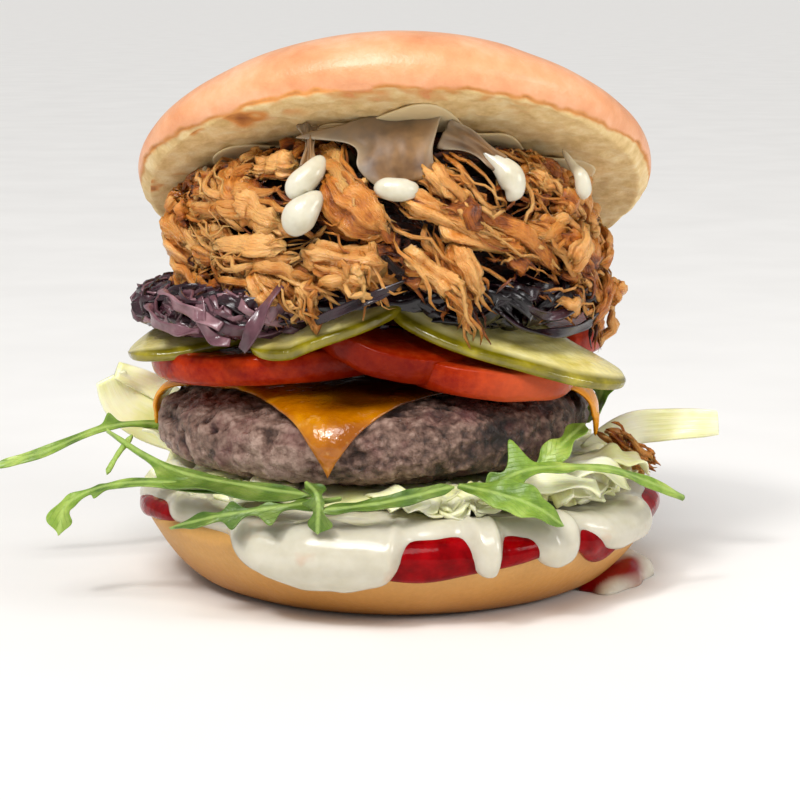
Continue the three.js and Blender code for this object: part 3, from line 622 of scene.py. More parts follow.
ROCKET_THICKNESS = 0.6
rocket_leaves = [
    (
        [(-46, 12, 28.5), (-57, 6, 31.5), (-67, 3, 31), (-80, 1, 26), (-92, 0, 22.6)], 1.9,
        [(0.45, 3.2, 0.2, 0.03), (0.62, 0.5, 0.5, 0.16), (0.8, 0.3, 0.3, 0.2)],
    ),
    (
        [(-34, -41, 26), (-50, -39, 27.5), (-62, -34, 25.5), (-70, -33, 21.5), (-72, -33, 15)], 1.8,
        [
            (0.15, 0.9, 0.9, 0.12), (0.36, 0.9, 1.1, 0.1), (0.53, 0.5, 3.0, 0.03), (0.7, 0.6, 0.6, 0.06),
            (0.87, 2.0, 1.6, 0.08),
        ],
    ),
    (
        [(-63, -20, 35), (-54, -28, 31), (-45, -37, 29), (-31, -46, 28.2), (-18, -51, 27.4)], 1.2,
        [(0.5, 4.0, 0.8, 0.13), (0.68, 4.6, 0.8, 0.15), (0.87, 3.0, 1.0, 0.12)],
    ),
    (
        [(-12, -49, 26.4), (-24, -54, 25.6), (-36, -53, 23.6), (-47, -48, 20)], 1.6,
        [(0.2, 1.2, 3.2, 0.05), (0.4, 0.8, 3.4, 0.045), (0.6, 1.6, 2.8, 0.045), (0.8, 1.4, 2.0, 0.08)],
    ),
    (
        [(-19, -51, 30), (-16.5, -56, 28), (-16.5, -57.5, 21)], 1.8,
        [(0.3, 1.4, 1.8, 0.1), (0.58, 2.4, 0.4, 0.07), (0.86, 1.2, 2.2, 0.1)],
    ),
    ([(-16, -56.6, 25.4), (-3, -56, 27), (11, -51, 29.3)], 2.6, [(0.4, 0.5, 0.4, 0.4)]),
    (
        [(60.5, -25, 21.3), (51, -31.5, 26.4), (42, -38, 30.3), (27, -47, 32), (17, -48, 28)], 2.8,
        [(0.66, 0.6, 2.2, 0.04), (0.79, 6.5, 0.6, 0.035), (0.84, 0.8, 3.2, 0.03), (0.95, 1.8, 1.4, 0.045)],
    ),
    (
        [(12, -49, 29), (20, -53, 28), (27, -54, 25.8), (33, -52.5, 21.5)], 2,
        [(0.4, 2.2, 2.2, 0.3), (0.75, 2.0, 2.0, 0.25)],
    ),
    ([(28, -37, 29.5), (33, -35, 34), (39, -28, 38)], 2, [(0.45, 2.4, 1.8, 0.2), (0.85, 1.4, 1.4, 0.12)]),
    ([(41, 25, 28), (46, 22, 33), (47, 18, 41)], 2, [(0.45, 3, 2, 0.2), (0.85, 2, 2, 0.1)]),
    (
        [(8, 48, 27), (12, 55, 28), (19, 61, 24), (27, 65, 20)], 1.7,
        [(0.3, 2, 0.8, 0.05), (0.45, 0.8, 2.6, 0.05), (0.61, 2.8, 1, 0.05), (0.87, 2.8, 2.8, 0.1)],
    ),
    (
        [(-34, 39, 28), (-42, 46, 29), (-51, 52, 24), (-60, 57, 20)], 1.7,
        [(0.3, 0.8, 2, 0.05), (0.46, 2.6, 0.8, 0.05), (0.62, 1, 2.8, 0.05), (0.87, 2.8, 2.8, 0.1)],
    ),
    ([(-57.5, -21, 34), (-60, -25.5, 31), (-62, -30, 27.6)], 1.2, []),
]


def rocket_edge(t, stem, lobes, side):
    """Half width of a leaf on one side: half the stem and a bell curve for each lobe, closed at
    the tip by a root curve."""
    half = stem / 2 * (0.4 + 0.6 * smoothstep(t, 0, 0.12))
    for lobe in lobes:
        half = half + lobe[side] * bell(t, lobe[0], lobe[3])
    return half * np.sqrt(np.clip(1.003 - smoothstep(t, 0.9, 1.0), 0, 1))


def rocket_leaf(points, stem, lobes, number, steps=110):
    """A leaf carried along its path: cupped along the rib, ruffled more toward its edges. Each
    lobe has its place along the leaf, its width on either side and its length."""
    t = np.linspace(0, 1, steps)[:, None]
    across, flat = oval(32, 0.4)
    half = np.where(across > 0, rocket_edge(t, stem, lobes, 1), rocket_edge(t, stem, lobes, 2))
    ruffle = 0.11 * np.sin(24 * t + number + 2 * across) + 0.3 * np.sin(7 * t + number) * across
    rib = 0.5 * bell(across * half, 0, 0.7) * (1 - 0.75 * t)
    cup = half * (0.22 * across**2 + ruffle * np.abs(across))
    upward = flat * (ROCKET_THICKNESS / 2 + rib * 0.6) + cup
    made = carried(curve(points, steps), np.array([0, -0.7, 1.0]), half * across, upward)
    # Painted shade: the leaves are darkened from the left side to the middle, where they lie under the
    # patty.
    deep = 0.6 * smoothstep(made[..., 0], -58, -40) * (1 - smoothstep(made[..., 0], 6, 24))
    return shell(made, uv=mapped(t, across * half / 12 + 0.5, made), deep=deep)


rocket = Finish("rocket_leaf", roughness=0.38, specular_ior_level=0.45)
rocket_along, rocket_across, _ = rocket.node("SeparateXYZ", {0: rocket.map}).outputs
rocket_off = rocket.sum(rocket_across, 0.5, "SUBTRACT")
rocket_off = rocket.node("Math", {0: rocket_off}, operation="ABSOLUTE").outputs[0]
rocket_rib = rocket.ramp(rocket_off, (0.015, 0.5), (0.05, 0.0))
rocket_slant = rocket.sum(rocket.times(rocket_along, 60), rocket.times(rocket_off, -70))
rocket_vein = rocket.node("Math", {0: rocket_slant}, operation="SINE").outputs[0]
rocket_vein = rocket.ramp(rocket_vein, (0.9, 0.0), (1.0, 0.35))
rocket_green = rocket.mottle(7, 3, (0.3, 72, 104, 26), (0.5, 124, 154, 54), (0.7, 172, 192, 92))
rocket_green = rocket.mix(rocket_vein, rocket_green, (128, 168, 66))
# Painted shade: dark green mixed in where the leaves lie under the patty.
rocket_green = rocket.mix(rocket.reading("deep"), rocket_green, (40, 70, 14))
rocket.set(
    base_color=rocket.mix(rocket_rib, rocket_green, (178, 202, 112)),
    normal=rocket.relief(rocket.sum(rocket.grain(1.5), rocket_vein), 0.2),
)
rocket.soft(0.2, (0.6, 1, 0.2), 0.0015)
for number, leaf in enumerate(rocket_leaves, 1):
    nodes = [f"rocket_leaf_{number:02d}"]
    put(f"rocket_{number:02d}", nodes, "rocket", rocket, **rocket_leaf(*leaf, number))

# Beef patty: minced beef pressed by hand into a thick round and fried.
# The mince shows as short crumbly threads with pits between them, moist and grey-brown.

PATTY_RADIUS = 48
PATTY_HALF_HEIGHT = 10
PATTY_SQUARENESS = 3
PATTY_LEAN = -1.7
PATTY_PLACE = (-6, 0, 35.2)


def plump(rise, squareness):
    """Shares of the radius and of the half height at a rise from -90 to 90 degrees: cosine and
    sine to the power of two over the squareness."""
    angle = np.radians(rise)
    power = 2 / squareness
    return np.maximum(np.cos(angle), 0) ** power, np.sign(angle) * np.abs(np.sin(angle)) ** power


def plump_rows(radius, half_height, squareness, fine, coarse, inner):
    """Rises of the rows of a plump round, a fine step apart along its side and a coarse step
    apart where its radius share is below inner."""
    rise = np.linspace(89.9, -89.9, 4000)
    out, up = plump(rise, squareness)
    step = np.hypot(np.diff(out * radius, prepend=0), np.diff(up * half_height, prepend=half_height))
    count = np.cumsum(step / np.where(out < inner, coarse, fine))
    return np.interp(np.linspace(count[0], count[-1], int(count[-1])), count, rise)[:, None]


def grown(points, height):
    """Points moved out along the normal of their ring grid by a height."""
    normal = np.cross(np.gradient(points, axis=0), np.roll(points, -1, 1) - np.roll(points, 1, 1))
    normal /= np.maximum(np.linalg.norm(normal, axis=-1, keepdims=True), 1e-9)
    return points + normal * height[..., None]


def turned_to(points, tilt, centre):
    """Points tipped about the two level axes by a pair of angles, then moved to a centre."""
    a, b = np.radians(tilt)
    about_x = np.array([[1, 0, 0], [0, np.cos(a), -np.sin(a)], [0, np.sin(a), np.cos(a)]])
    about_y = np.array([[np.cos(b), 0, np.sin(b)], [0, 1, 0], [-np.sin(b), 0, np.cos(b)]])
    return points @ (about_x @ about_y).T + centre


def patty():
    """A plump round whose edge wobbles, with mince on it: ridged noise for the threads, plain
    noise for the lumps and cut-off noise for the pits."""
    rise = plump_rows(PATTY_RADIUS, PATTY_HALF_HEIGHT, PATTY_SQUARENESS, 0.5, 2.4, 0.66)
    out, up = plump(rise, PATTY_SQUARENESS)
    edge = PATTY_RADIUS - 0.4 + waves(turns(450), (0.5, 3, 1), (0.35, 7, 2))
    points = around(turns(450), edge * out, PATTY_HALF_HEIGHT * up)
    warp = np.stack([unevenness(points, 6, 30 + k) for k in range(3)], -1)
    threads = ridges(points + 1.6 * warp, 3.4, 34)
    pits = np.clip(unevenness(points + warp, 4.2, 36) - 0.42, 0, 1)
    mince = 0.5 * threads + lumps(points, (0.9, 11, 35), (0.4, 1.5, 37), (0.2, 0.9, 38)) - 3.4 * pits
    # Painted light: lighter at the left, where the light falls, and darker at the right.
    seared = 0.22 - 0.42 * smoothstep(points[..., 0], -26, 26)
    made = turned_to(grown(points, mince - 0.2), (0, PATTY_LEAN), PATTY_PLACE)
    # The mince reading carries the relief into the colour as painted shade: darker in the pits, lighter on
    # the threads.
    return shell(made, mince=0.5 + 0.3 * mince + seared)


beef = Finish("minced_beef", specular_ior_level=0.5)
beef_warp = beef.node("TexNoise", {"Vector": beef.place, "Scale": 0.5}).outputs["Color"]
beef_grain = beef.cells(1.7, beef.node("VectorMath", {0: beef.place, 1: beef_warp}).outputs[0])
beef_lump = beef.times(beef.sum(beef.grain(7, 3), 0.5, "SUBTRACT"), 0.5)
# Painted shade: darker at the cell edges, in the grooves between the crumbs.
beef_crumb = beef.sum(beef.times(beef.grain(1.1, 4, 0.7), 0.55), beef.times(beef_grain, -0.28))
beef_tone = beef.sum(beef.sum(beef.times(beef.reading("mince"), 0.5), beef_lump), beef_crumb)
beef_brown = beef.ramp(
    beef_tone,
    (0.18, 30, 19, 15),
    (0.33, 80, 56, 46),
    (0.47, 130, 101, 87),
    (0.68, 180, 150, 135),
)
beef_pink = beef.ramp(beef.grain(8, 3, 0.6), (0.5, 0.0), (0.72, 0.55))
beef_rough = beef.sum(beef.grain(0.7, 4, 0.75), beef.times(beef_grain, -0.6))
beef.set(
    base_color=beef.mix(beef_pink, beef_brown, (122, 70, 69)),
    roughness=beef.mottle(3, 3, (0.35, 0.2), (0.6, 0.5)),
    normal=beef.relief(beef_rough, 0.7),
)
put("beef_patty_mince", ["beef_patty"], "beef", beef, **patty())

# Cheese: one square slice of amber processed cheese, laid on the hot patty and half melted.
# Its corners hang down over the side, and the front one is stretched and wet with fat.

CHEESE_SIDE = 77
CHEESE_THICKNESS = 1.5
CHEESE_LIFT = 0.7
CHEESE_TURN = 35
CHEESE_HOLLOW = 0.07


def cheese_slope():
    """Path of the cheese from the middle of the patty's top, over its edge and down its side:
    arc lengths, places and outward directions."""
    out, up = plump(np.linspace(90, 0, 300), PATTY_SQUARENESS)
    radius = np.concatenate([PATTY_RADIUS * out, np.full(60, PATTY_RADIUS + 0.2)])
    level = np.concatenate([PATTY_HALF_HEIGHT * up, np.linspace(-0.2, -PATTY_HALF_HEIGHT * 1.4, 60)])
    even, places = evened(radius, level, 500)
    return even, places, softened(outward(places), 25)


def cheese(rows=120):
    """The square carried over the slope by its distance and direction from its middle. Each row
    is a closed loop over the slice and back beneath it, rounded at the edges, which draw in between
    the corners."""
    u = np.sin(np.linspace(-np.pi / 2, np.pi / 2, rows))[:, None]
    u = 0.5 * u + 0.5 * np.linspace(-1, 1, rows)[:, None]
    v, upper = oval(240, 0)
    edge = np.maximum(np.abs(u), np.abs(v))
    thick = CHEESE_THICKNESS * np.sqrt(np.clip(1 - edge**22, 0, 1)) * (1 + 0.25 * edge**6)
    half = CHEESE_SIDE / 2 * (1 + 0.05 * (np.abs(u) * np.abs(v)) ** 3)
    x = half * u * (1 + 0.012 * np.sin(9 * v) - CHEESE_HOLLOW * (1 - v**2))
    y = half * v * (1 + 0.012 * np.sin(8 * u) - CHEESE_HOLLOW * (1 - u**2))
    arc = np.hypot(x, y)
    azimuth = np.degrees(np.arctan2(x, -y)) + CHEESE_TURN
    lift = CHEESE_LIFT + CHEESE_THICKNESS / 2 + upper * thick / 2
    lift = lift + lumps(np.stack([x, y, 0 * x], -1), (0.45, 9, 41), (0.2, 3.5, 42))
    points = turned_to(over(cheese_slope(), azimuth, arc, lift), (0, PATTY_LEAN), PATTY_PLACE)
    # Painted light: the corners hanging past the patty are marked to be brighter, standing in for light
    # through them from behind.
    hanging = smoothstep(np.abs(points[..., 0] + 6), 40, 46)
    # Painted shadow: the top face under the middle tomato slice is marked.
    covered = (1 - smoothstep(arc, 40, 46)) * smoothstep(points[..., 0], -26, -10)
    return shell(points, hanging=hanging, covered=covered)


amber = Finish("amber_cheese", specular_ior_level=0.45, coat_weight=0.2, coat_roughness=0.05)
amber_tone = amber.mottle(9, 3, (0.3, 146, 78, 0), (0.5, 176, 104, 0), (0.72, 206, 136, 4))
amber_blister = amber.mottle(2.6, 3, (0.62, 0.0), (0.76, 0.3))
# Painted light: bright orange on the hanging corners.
amber_tone = amber.mix(amber.reading("hanging"), amber_tone, (244, 156, 6))
amber_tone = amber.mix(amber_blister, amber_tone, (238, 190, 110))
amber.set(
    # Painted shadow: dark brown on the top face under the tomato slices.
    base_color=amber.mix(amber.reading("covered"), amber_tone, (60, 26, 0)),
    roughness=amber.mottle(5, 3, (0.35, 0.06), (0.65, 0.22)),
    normal=amber.relief(amber.grain(2.4, 3), 0.42),
)
amber.soft(0.1, (1, 0.6, 0.05))
put("cheese_slice_melted", ["cheese_slice"], "cheese", amber, **cheese())

# Tomato: round slices cut across the fruit, laid over each other on the cheese.
# A thin shiny skin goes round wet red flesh, and the cut faces are paler than the skin.

TOMATO_THICKNESS = 6.4
TOMATO_RIM = 2.2
tomato_slices = {
    "tomato_left": (30.7, (-24, -7, 51), (0, -4)),
    "tomato_back": (28.5, (18, 14, 51.4), (0, 0)),
    "tomato_middle": (18, (-1.5, -25, 57), (16, 14)),
    "tomato_right": (21, (17, -21.5, 50.4), (5, 7)),
}


def tomato(radius, centre, tilt, number):
    """A slice: flat faces that sink a little toward the core, and a skin that bulges between
    them. The outline has soft ribs, as the fruit has. The slices are painted darker in the middle of
    the burger, as shade under the pickles, and palest at its front right."""
    half = TOMATO_THICKNESS / 2
    shape = np.array([
        (0.02, half - 0.5), (0.3, half - 0.35), (0.6, half - 0.2), (0.85, half),
        (radius / (radius + TOMATO_RIM), half), (0.975, half * 0.9), (0.992, half * 0.62),
        (1.0, half * 0.2), (0.995, -half * 0.3), (0.98, -half * 0.7), (0.95, -half * 0.96),
        (0.9, -half), (0.6, -half), (0.02, -half),
    ])
    profile = curve(np.pad(shape, ((0, 0), (0, 1))), 90)
    ribs = 1 + waves(turns(240), (0.006, 5, number), (0.004, 9, 2 * number))
    points = around(turns(240), radius * profile[:, :1] * ribs, profile[:, 1:2])
    points[..., 2] += 0.18 * unevenness(points, 5, 50 + number)
    points = turned_to(points, tilt, centre)
    pale = 0.55 * smoothstep(points[..., 0], 8, 30) * smoothstep(-points[..., 1], 20, 40)
    # Painted shade: darker in the middle, where the pickles arch over the slices.
    ripe = 0.7 * bell(points[..., 0], -6, 15, 4)
    return shell(points, share=np.broadcast_to(profile[:, :1], points.shape[:2]), pale=pale, ripe=ripe)


flesh = Finish("tomato_flesh", roughness=0.2, specular_ior_level=0.12)
flesh_red = flesh.ramp(flesh.grain(3, 5, 0.65), (0.3, 146, 28, 2), (0.5, 176, 48, 8), (0.72, 200, 78, 30))
flesh_skin = flesh.ramp(flesh.grain(3, 5, 0.65), (0.3, 132, 14, 0), (0.7, 184, 54, 8))
flesh_rim = flesh.ramp(flesh.reading("share"), (0.93, 0.0), (0.965, 1.0))
flesh_tone = flesh.mix(flesh_rim, flesh_red, flesh_skin)
flesh_tone = flesh.mix(flesh.reading("pale"), flesh_tone, (214, 104, 62))
flesh.set(
    # Painted shade: dark red mixed in toward the middle of the burger.
    base_color=flesh.mix(flesh.reading("ripe"), flesh_tone, (96, 10, 0)),
    normal=flesh.relief(flesh.grain(1.8, 4), 0.22),
)
flesh.soft(0.08, (1, 0.25, 0.05), 0.003)
for number, (node, cut) in enumerate(tomato_slices.items()):
    put(f"{node}_slice", [node], "tomato", flesh, **tomato(*cut, number))

# Pickle: long slices of a sour gherkin, limp enough to bend over what they lie on.
# Olive skin goes round the edge of pale glassy flesh with a row of small seeds.

PICKLE_THICKNESS = 3.4
pickle_slices = {
    "pickle_left": (
        [(-58.5, -15, 51.2), (-50, -15, 53.6), (-37, -13, 55.8), (-14, -8, 57.6)], 24, (0, -0.1, 1.0),
    ),
    "pickle_middle": (
        [(-31, -33.5, 55.3), (-22, -35, 57.3), (-12, -35.5, 61), (2, -29, 66.5)], 15, (0, -0.3, 1.0),
    ),
    "pickle_right": (
        [(-2, -25, 67.5), (9, -29.5, 62.5), (21, -30.5, 57), (35, -27.5, 52), (47, -21, 48)], 26,
        (0, -0.32, 1.0),
    ),
    "pickle_back": ([(-24, 24, 55.5), (-8, 30, 57), (12, 33, 57.2), (30, 31, 56)], 22, (0, 0.1, 1.0)),
}


def pickle(points, width, face, number, steps=80):
    """A slice carried along its path: its half width is a rounded oval of the place along it, and
    its section a flat oval that waves a little at the edge."""
    t = (1 - np.cos(np.linspace(0.02, np.pi - 0.02, steps))) / 2
    even = np.linspace(0, 1, steps)
    path = np.stack([np.interp(t, even, column) for column in curve(points, steps).T], 1)
    t = t[:, None]
    across, flat = oval(56, 0.45)
    half = width / 2 * np.maximum(1 - np.abs(2 * t - 1) ** 3, 1e-4) ** 0.5
    thin = np.minimum(1, half / (width / 2) + 0.15)
    wave = 0.5 * np.sin(9 * t + number + across) * np.abs(across) ** 2
    upward = flat * PICKLE_THICKNESS / 2 * thin + wave
    made = carried(path, np.asarray(face, float), half * across, upward)
    rim = np.maximum(np.abs(across), np.abs(2 * t - 1) ** 6)
    return shell(made, uv=mapped(t, across / 2 + 0.5, made), rim=rim)


gherkin = Finish("gherkin", roughness=0.18, specular_ior_level=0.55, coat_weight=0.3, coat_roughness=0.08)
gherkin_flesh = gherkin.mottle(
    7, 3, (0.3, 206, 190, 92), (0.5, 228, 214, 136), (0.7, 238, 228, 164)
)
gherkin_seed = gherkin.cells(0.09, gherkin.stretched((1.0, 0.55, 1)))
gherkin_seed = gherkin.ramp(gherkin_seed, (0.12, 0.5), (0.22, 0.0))
gherkin_flesh = gherkin.mix(gherkin_seed, gherkin_flesh, (232, 226, 172))
gherkin_skin = gherkin.mottle(
    6, 3, (0.3, 96, 88, 4), (0.55, 134, 122, 14), (0.75, 170, 156, 40)
)
gherkin_edge = gherkin.ramp(gherkin.reading("rim"), (0.7, 0.0), (0.88, 1.0))
gherkin.set(
    base_color=gherkin.mix(gherkin_edge, gherkin_flesh, gherkin_skin),
    normal=gherkin.relief(gherkin.grain(1.6, 3), 0.2),
)
gherkin.soft(0.25, (1, 0.9, 0.3), 0.003)
for number, (node, cut) in enumerate(pickle_slices.items()):
    put(f"{node}_slice", [node], "pickle", gherkin, **pickle(*cut, number))

# Red cabbage: finely cut and braised, so that the shreds are limp, dark purple and glossy.
# They lie in a thick bed over the pickles, with curls and loose ends round its edge.

CABBAGE_CENTRE = np.array([-7, -1, 62.5])
CABBAGE_RADII = np.array([50, 47, 6.5])
CABBAGE_SQUARENESS = 3
CABBAGE_SLOPE = np.array([0.035, -0.04, 0])
CABBAGE_THICKNESS = 0.8
CABBAGE_SHREDS = 560
LID_HEIGHT = 84.9
LID_RISE = 0.51
LID_SAG = 0.0003


def under_lid(points, gap, hollow=0):
    """Points kept a gap below the upper bun's cut face, which rises to the front and sags at the
    two sides. A hollow widens the gap toward the front."""
    x, y, z = np.moveaxis(points, -1, 0)
    face = LID_HEIGHT + LID_RISE * -y + 0.012 * x - LID_SAG * x**2
    gap = gap + hollow * smoothstep(-y, 8, 34)
    return np.stack([x, y, np.minimum(z, face - gap)], -1)


def cabbage_place(azimuth, rise):
    """Point on the plump bed, on its slope, with a hollow in front where the pickles meet and
    pressed down by the upper bun at the back."""
    share, up = plump(rise, CABBAGE_SQUARENESS)
    hollow = 12 * swelling(azimuth, 1, 25)
    radii = CABBAGE_RADII - np.stack([hollow, hollow, 0 * hollow], -1)
    point = around(azimuth, share, up) * radii + CABBAGE_CENTRE
    point[..., 2] += point @ CABBAGE_SLOPE
    return under_lid(point, 2)


def cabbage_bed():
    """Bed of packed shreds: the plump round with ridges of noise drawn out round it."""
    rise = plump_rows(CABBAGE_RADII[0], CABBAGE_RADII[2], CABBAGE_SQUARENESS, 0.8, 4, 0.8)
    points = cabbage_place(*np.broadcast_arrays(turns(320), rise))
    packed = ridges(points * (0.55, 0.55, 1.6), 3.2, 60)
    points = grown(points, 0.9 * packed + 0.9 * unevenness(points, 9, 61) - 1.0)
    # The bed's low tint is painted shade in the gaps between the shreds.
    return shell(points, uv=mapped(0.5, 0.5, points), tint=np.full(points.shape[:2], -0.05))


def cabbage_scatter(count, rng):
    """Shreds over the edge of the bed: each follows the edge for a way while it rises or falls,
    and bows out or curls under."""
    one = (count, 1)
    steps = np.linspace(0, 1, 5)
    start = rng.uniform(0, 360, one)
    azimuth = start + rng.uniform(9, 24, one) * rng.choice([-1, 1], one) * steps
    high = rng.uniform(-20, 62, one)
    fall = rng.uniform(0, 75, one)
    rise = np.clip(high - fall * steps + 10 * rng.uniform(-1, 1, (count, 5)), -60, 70)
    bow = rng.uniform(0.2, 2.2, one) * np.sin(np.pi * steps) - 0.4
    bow = bow + 0.5 * rng.uniform(-1, 1, (count, 5)) - 3 * swelling(azimuth, 1, 24)
    points = cabbage_place(azimuth, rise)
    away = (points - CABBAGE_CENTRE) * (1, 1, 0)
    return points + away / np.linalg.norm(away, axis=-1, keepdims=True) * bow[..., None]


cabbage_shown_width = np.array([3.2, 2.6, 2.6, 3, 2.4, 2, 2.2])
cabbage_shown = np.array([
    [(-24, -43, 69), (-27, -45.5, 65.5), (-29, -46.5, 62), (-30.5, -46.5, 59), (-32, -45.5, 56.5)],
    [(-41, -36, 66), (-40.7, -38.5, 62.2), (-39.7, -39.8, 59.7), (-37.7, -41, 57.9), (-34.6, -42, 57.4)],
    [(-53, -24, 63), (-52, -28, 61), (-49, -32, 59.5), (-45, -35.5, 58.8), (-41, -38, 59.2)],
    [(-50, -27, 66.5), (-47.5, -31.5, 65), (-44, -35.5, 63.5), (-40, -39, 62), (-36.5, -41.5, 60.5)],
    [(20.1, -42, 63.6), (26.4, -38, 59.4), (32.7, -32.5, 58), (39.1, -24, 58.5), (42.5, -17, 60.6)],
    [(24.3, -39, 65.3), (29.6, -35.5, 62.2), (33.7, -32, 62), (36.9, -28.5, 63.5), (36.7, -29, 65.8)],
    [(-17, -44, 62), (-12, -46.5, 64.6), (-7.5, -47.5, 66.8), (-3, -47.5, 68.8), (1, -46.5, 71)],
], float)


def cabbage_ribbons(paths, width, rng, sides, steps):
    """Shreds along paths whose broad side faces out from the bed, each with a tint of its own. The
    tint is lowered toward the right as painted shade between the pork and the pickles.
    """
    facing = paths.mean(1) - CABBAGE_CENTRE
    facing[:, 2] = rng.uniform(-10, 26, len(facing))
    made = ribbons(paths, facing, width, CABBAGE_THICKNESS, rng, sides, steps, 0.4, 0.25, 0.4, 1.5)
    # Painted shade: the shreds toward the right are darkened.
    tint = rng.uniform(-0.1, 1, len(paths)) - 0.65 * smoothstep(paths[:, 2, 0], -24, 6)
    return dict(made, tint=np.repeat(tint, sides * steps).reshape(-1, steps, sides))


def cabbage_heap(rng):
    """The shreds that show, the loose ones and the bed."""
    shown = cabbage_ribbons(cabbage_shown, cabbage_shown_width, rng, 14, 28)
    paths = cabbage_scatter(CABBAGE_SHREDS, rng)
    loose = cabbage_ribbons(paths, rng.uniform(1.3, 3.4, CABBAGE_SHREDS), rng, 7, 12)
    return joined(shown, loose, cabbage_bed())


cabbage = Finish("braised_cabbage", roughness=0.17, specular_ior_level=0.55)
cabbage_streak = cabbage.grain(1.4, 3, vector=cabbage.stretched((1.5, 9, 1)))
cabbage_purple = cabbage.ramp(
    cabbage.sum(cabbage.times(cabbage.reading("tint"), 0.5), cabbage.times(cabbage.grain(5, 4), 0.5)),
    (0.15, 12, 4, 7),
    (0.4, 48, 25, 33),
    (0.62, 104, 68, 76),
    (0.88, 172, 132, 138),
)
cabbage.set(base_color=cabbage_purple, normal=cabbage.relief(cabbage_streak, 0.12))
cabbage.soft(0.1, (1, 0.5, 0.9))
put("red_cabbage_heap", ["red_cabbage"], "cabbage", cabbage, **cabbage_heap(np.random.default_rng(23)))

# Pulled pork: slow-roasted shoulder torn into bundles of fibres and heaped up while warm.
# The outside bits are dark and red from the roast, the inside is tan, and all of it is moist.

PORK_CENTRE = np.array([-1, -1, 76])
PORK_RADII = np.array([47, 45.5, 25])
PORK_SQUARENESS = 3
PORK_DEPTH = 11
PORK_ARC = 0.82
CORE_INSET = 6
HIDDEN_TUFTS = 80
HIDDEN_CHUNKS = 48


def pork_share(level):
    """Share of the heap's radius at a height. Below its widest part the strands hang straight."""
    up = np.clip((level - PORK_CENTRE[2]) / PORK_RADII[2], -0.2, 0.98)
    return (1 - np.abs(up) ** PORK_SQUARENESS) ** (1 / PORK_SQUARENESS)


def pork_place(azimuth, level, out):
    """Point on the heap's outside at an azimuth and height, moved out from the axis. The right
    side draws in toward the top."""
    angle = np.radians(azimuth)
    right = np.clip(np.sin(angle), 0, 1) ** 2
    share = pork_share(level) * (1 - right * (0.03 + 0.1 * smoothstep(level, 64, 86)))
    x = PORK_CENTRE[0] + (PORK_RADII[0] * share + out) * np.sin(angle)
    y = PORK_CENTRE[1] - (PORK_RADII[1] * share + out) * np.cos(angle)
    return np.stack([x, y, level + 0 * x], -1)


def pork_azimuth(x, level):
    """Azimuth of the front of the heap at a distance to the right and a height."""
    sine = (x - PORK_CENTRE[0]) / (PORK_RADII[0] * pork_share(level))
    return np.degrees(np.arcsin(np.clip(sine, -0.98, 0.98)))


def pork_core():
    """Inside of the heap: the plump round, sunk a little and heavily lumped."""
    rise = plump_rows(48, 20, PORK_SQUARENESS, 1.0, 3, 0.5)
    share, up = plump(rise, PORK_SQUARENESS)
    depth = np.where(rise < 0, PORK_DEPTH, PORK_RADII[2] - 3.5)
    size = (PORK_RADII[0] - CORE_INSET, PORK_RADII[1] - CORE_INSET, 1)
    points = around(turns(300), share, up * depth) * size + PORK_CENTRE
    points[..., 0] -= 6 * np.clip(points[..., 0] / 45, 0, 1) * smoothstep(points[..., 2], 64, 86)
    uneven = 1.6 * unevenness(points, 9, 70) + 1.2 * ridges(points, 4, 71)
    points = under_lid(grown(points, uneven - 0.6), 1.5, 9)
    # Painted shade: the low tint darkens the inside, which shows in the gaps between the bundles.
    return shell(points, uv=points[..., [0, 2]], tint=np.full(points.shape[:2], -0.1))


# Each row has the place to the right and the height of one end, those of the other end, the
# thickness, the tint from dark to pale and how far the middle is lifted off the heap. The tint is
# the roast's colour, and on the tufts just under the upper bun it is lowered as painted shade.
pork_tufts = [
    (-18, 94, -3, 79, 2.0, 0.62, 3.5), (-14, 95, -2, 82, 1.8, 0.65, 4.5),
    (5, 94, 18, 83, 2.2, 0.12, 4.0), (8, 92, 17, 82, 2.0, 0.2, 5.0), (0, 89, 29, 74.5, 1.7, 0.5, 4.0),
    (3, 86, 31, 72, 1.6, 0.5, 3.0), (7, 80, 15, 60.5, 1.6, 0.6, 4.5), (9, 76, 17, 63, 1.3, 0.45, 5.0),
    (-18, 77, -3, 69, 2.4, 0.7, 3.5), (-12, 74, -4, 70, 2.0, 0.75, 4.5),
    (-22, 71, -19, 61, 1.4, 0.65, 3.5), (-40, 74, -19, 76.5, 1.7, 0.8, 3.5),
    (-38, 71, -22, 72.5, 1.5, 0.7, 3.5), (-34, 72, -30, 61.5, 1.3, 0.6, 3.0),
    (-28, 71, -25, 62, 1.2, 0.55, 3.0), (-50, 72, -40, 67, 1.5, 0.55, 3.0),
    (-47, 69, -39, 64.5, 1.3, 0.5, 3.0), (-42, 89, -30, 84, 1.6, 0.5, 3.0),
    (-38, 92, -33, 80, 1.7, 0.55, 4.0), (-46, 84, -30, 80, 1.6, 0.6, 3.0),
    (-30, 86, -12, 81, 1.8, 0.7, 3.0), (-44, 79, -34, 74, 1.6, 0.5, 2.5),
    (23, 84, 40, 78, 1.9, 0.25, 3.5), (20, 80, 38, 72, 1.5, 0.5, 3.0), (31, 81, 38, 70, 1.6, 0.5, 3.0),
    (38, 78, 44, 62, 1.6, 0.45, 2.5), (41, 72, 46, 56, 1.5, 0.4, 2.0), (35, 73, 41, 62, 1.4, 0.45, 3.0),
    (26, 90, 36, 84, 1.7, 0.35, 3.0), (18, 77, 27, 73, 1.4, 0.4, 2.5), (0, 75, 10, 69, 1.6, 0.25, 1.5),
    (-6, 81, 6, 72, 1.7, 0, 0.5), (4, 98, 20, 95, 1.8, 0, 1.5), (16, 97, 32, 92, 1.8, 0.2, 2.0),
    (-37, 91, -24, 89, 1.7, 0.3, 2.0), (24, 94, 38, 89, 1.7, 0.3, 2.0), (43, 84, 50, 70, 1.8, 0.4, 2.5),
    (45, 70, 48, 54, 1.6, 0.45, 1.5),
]
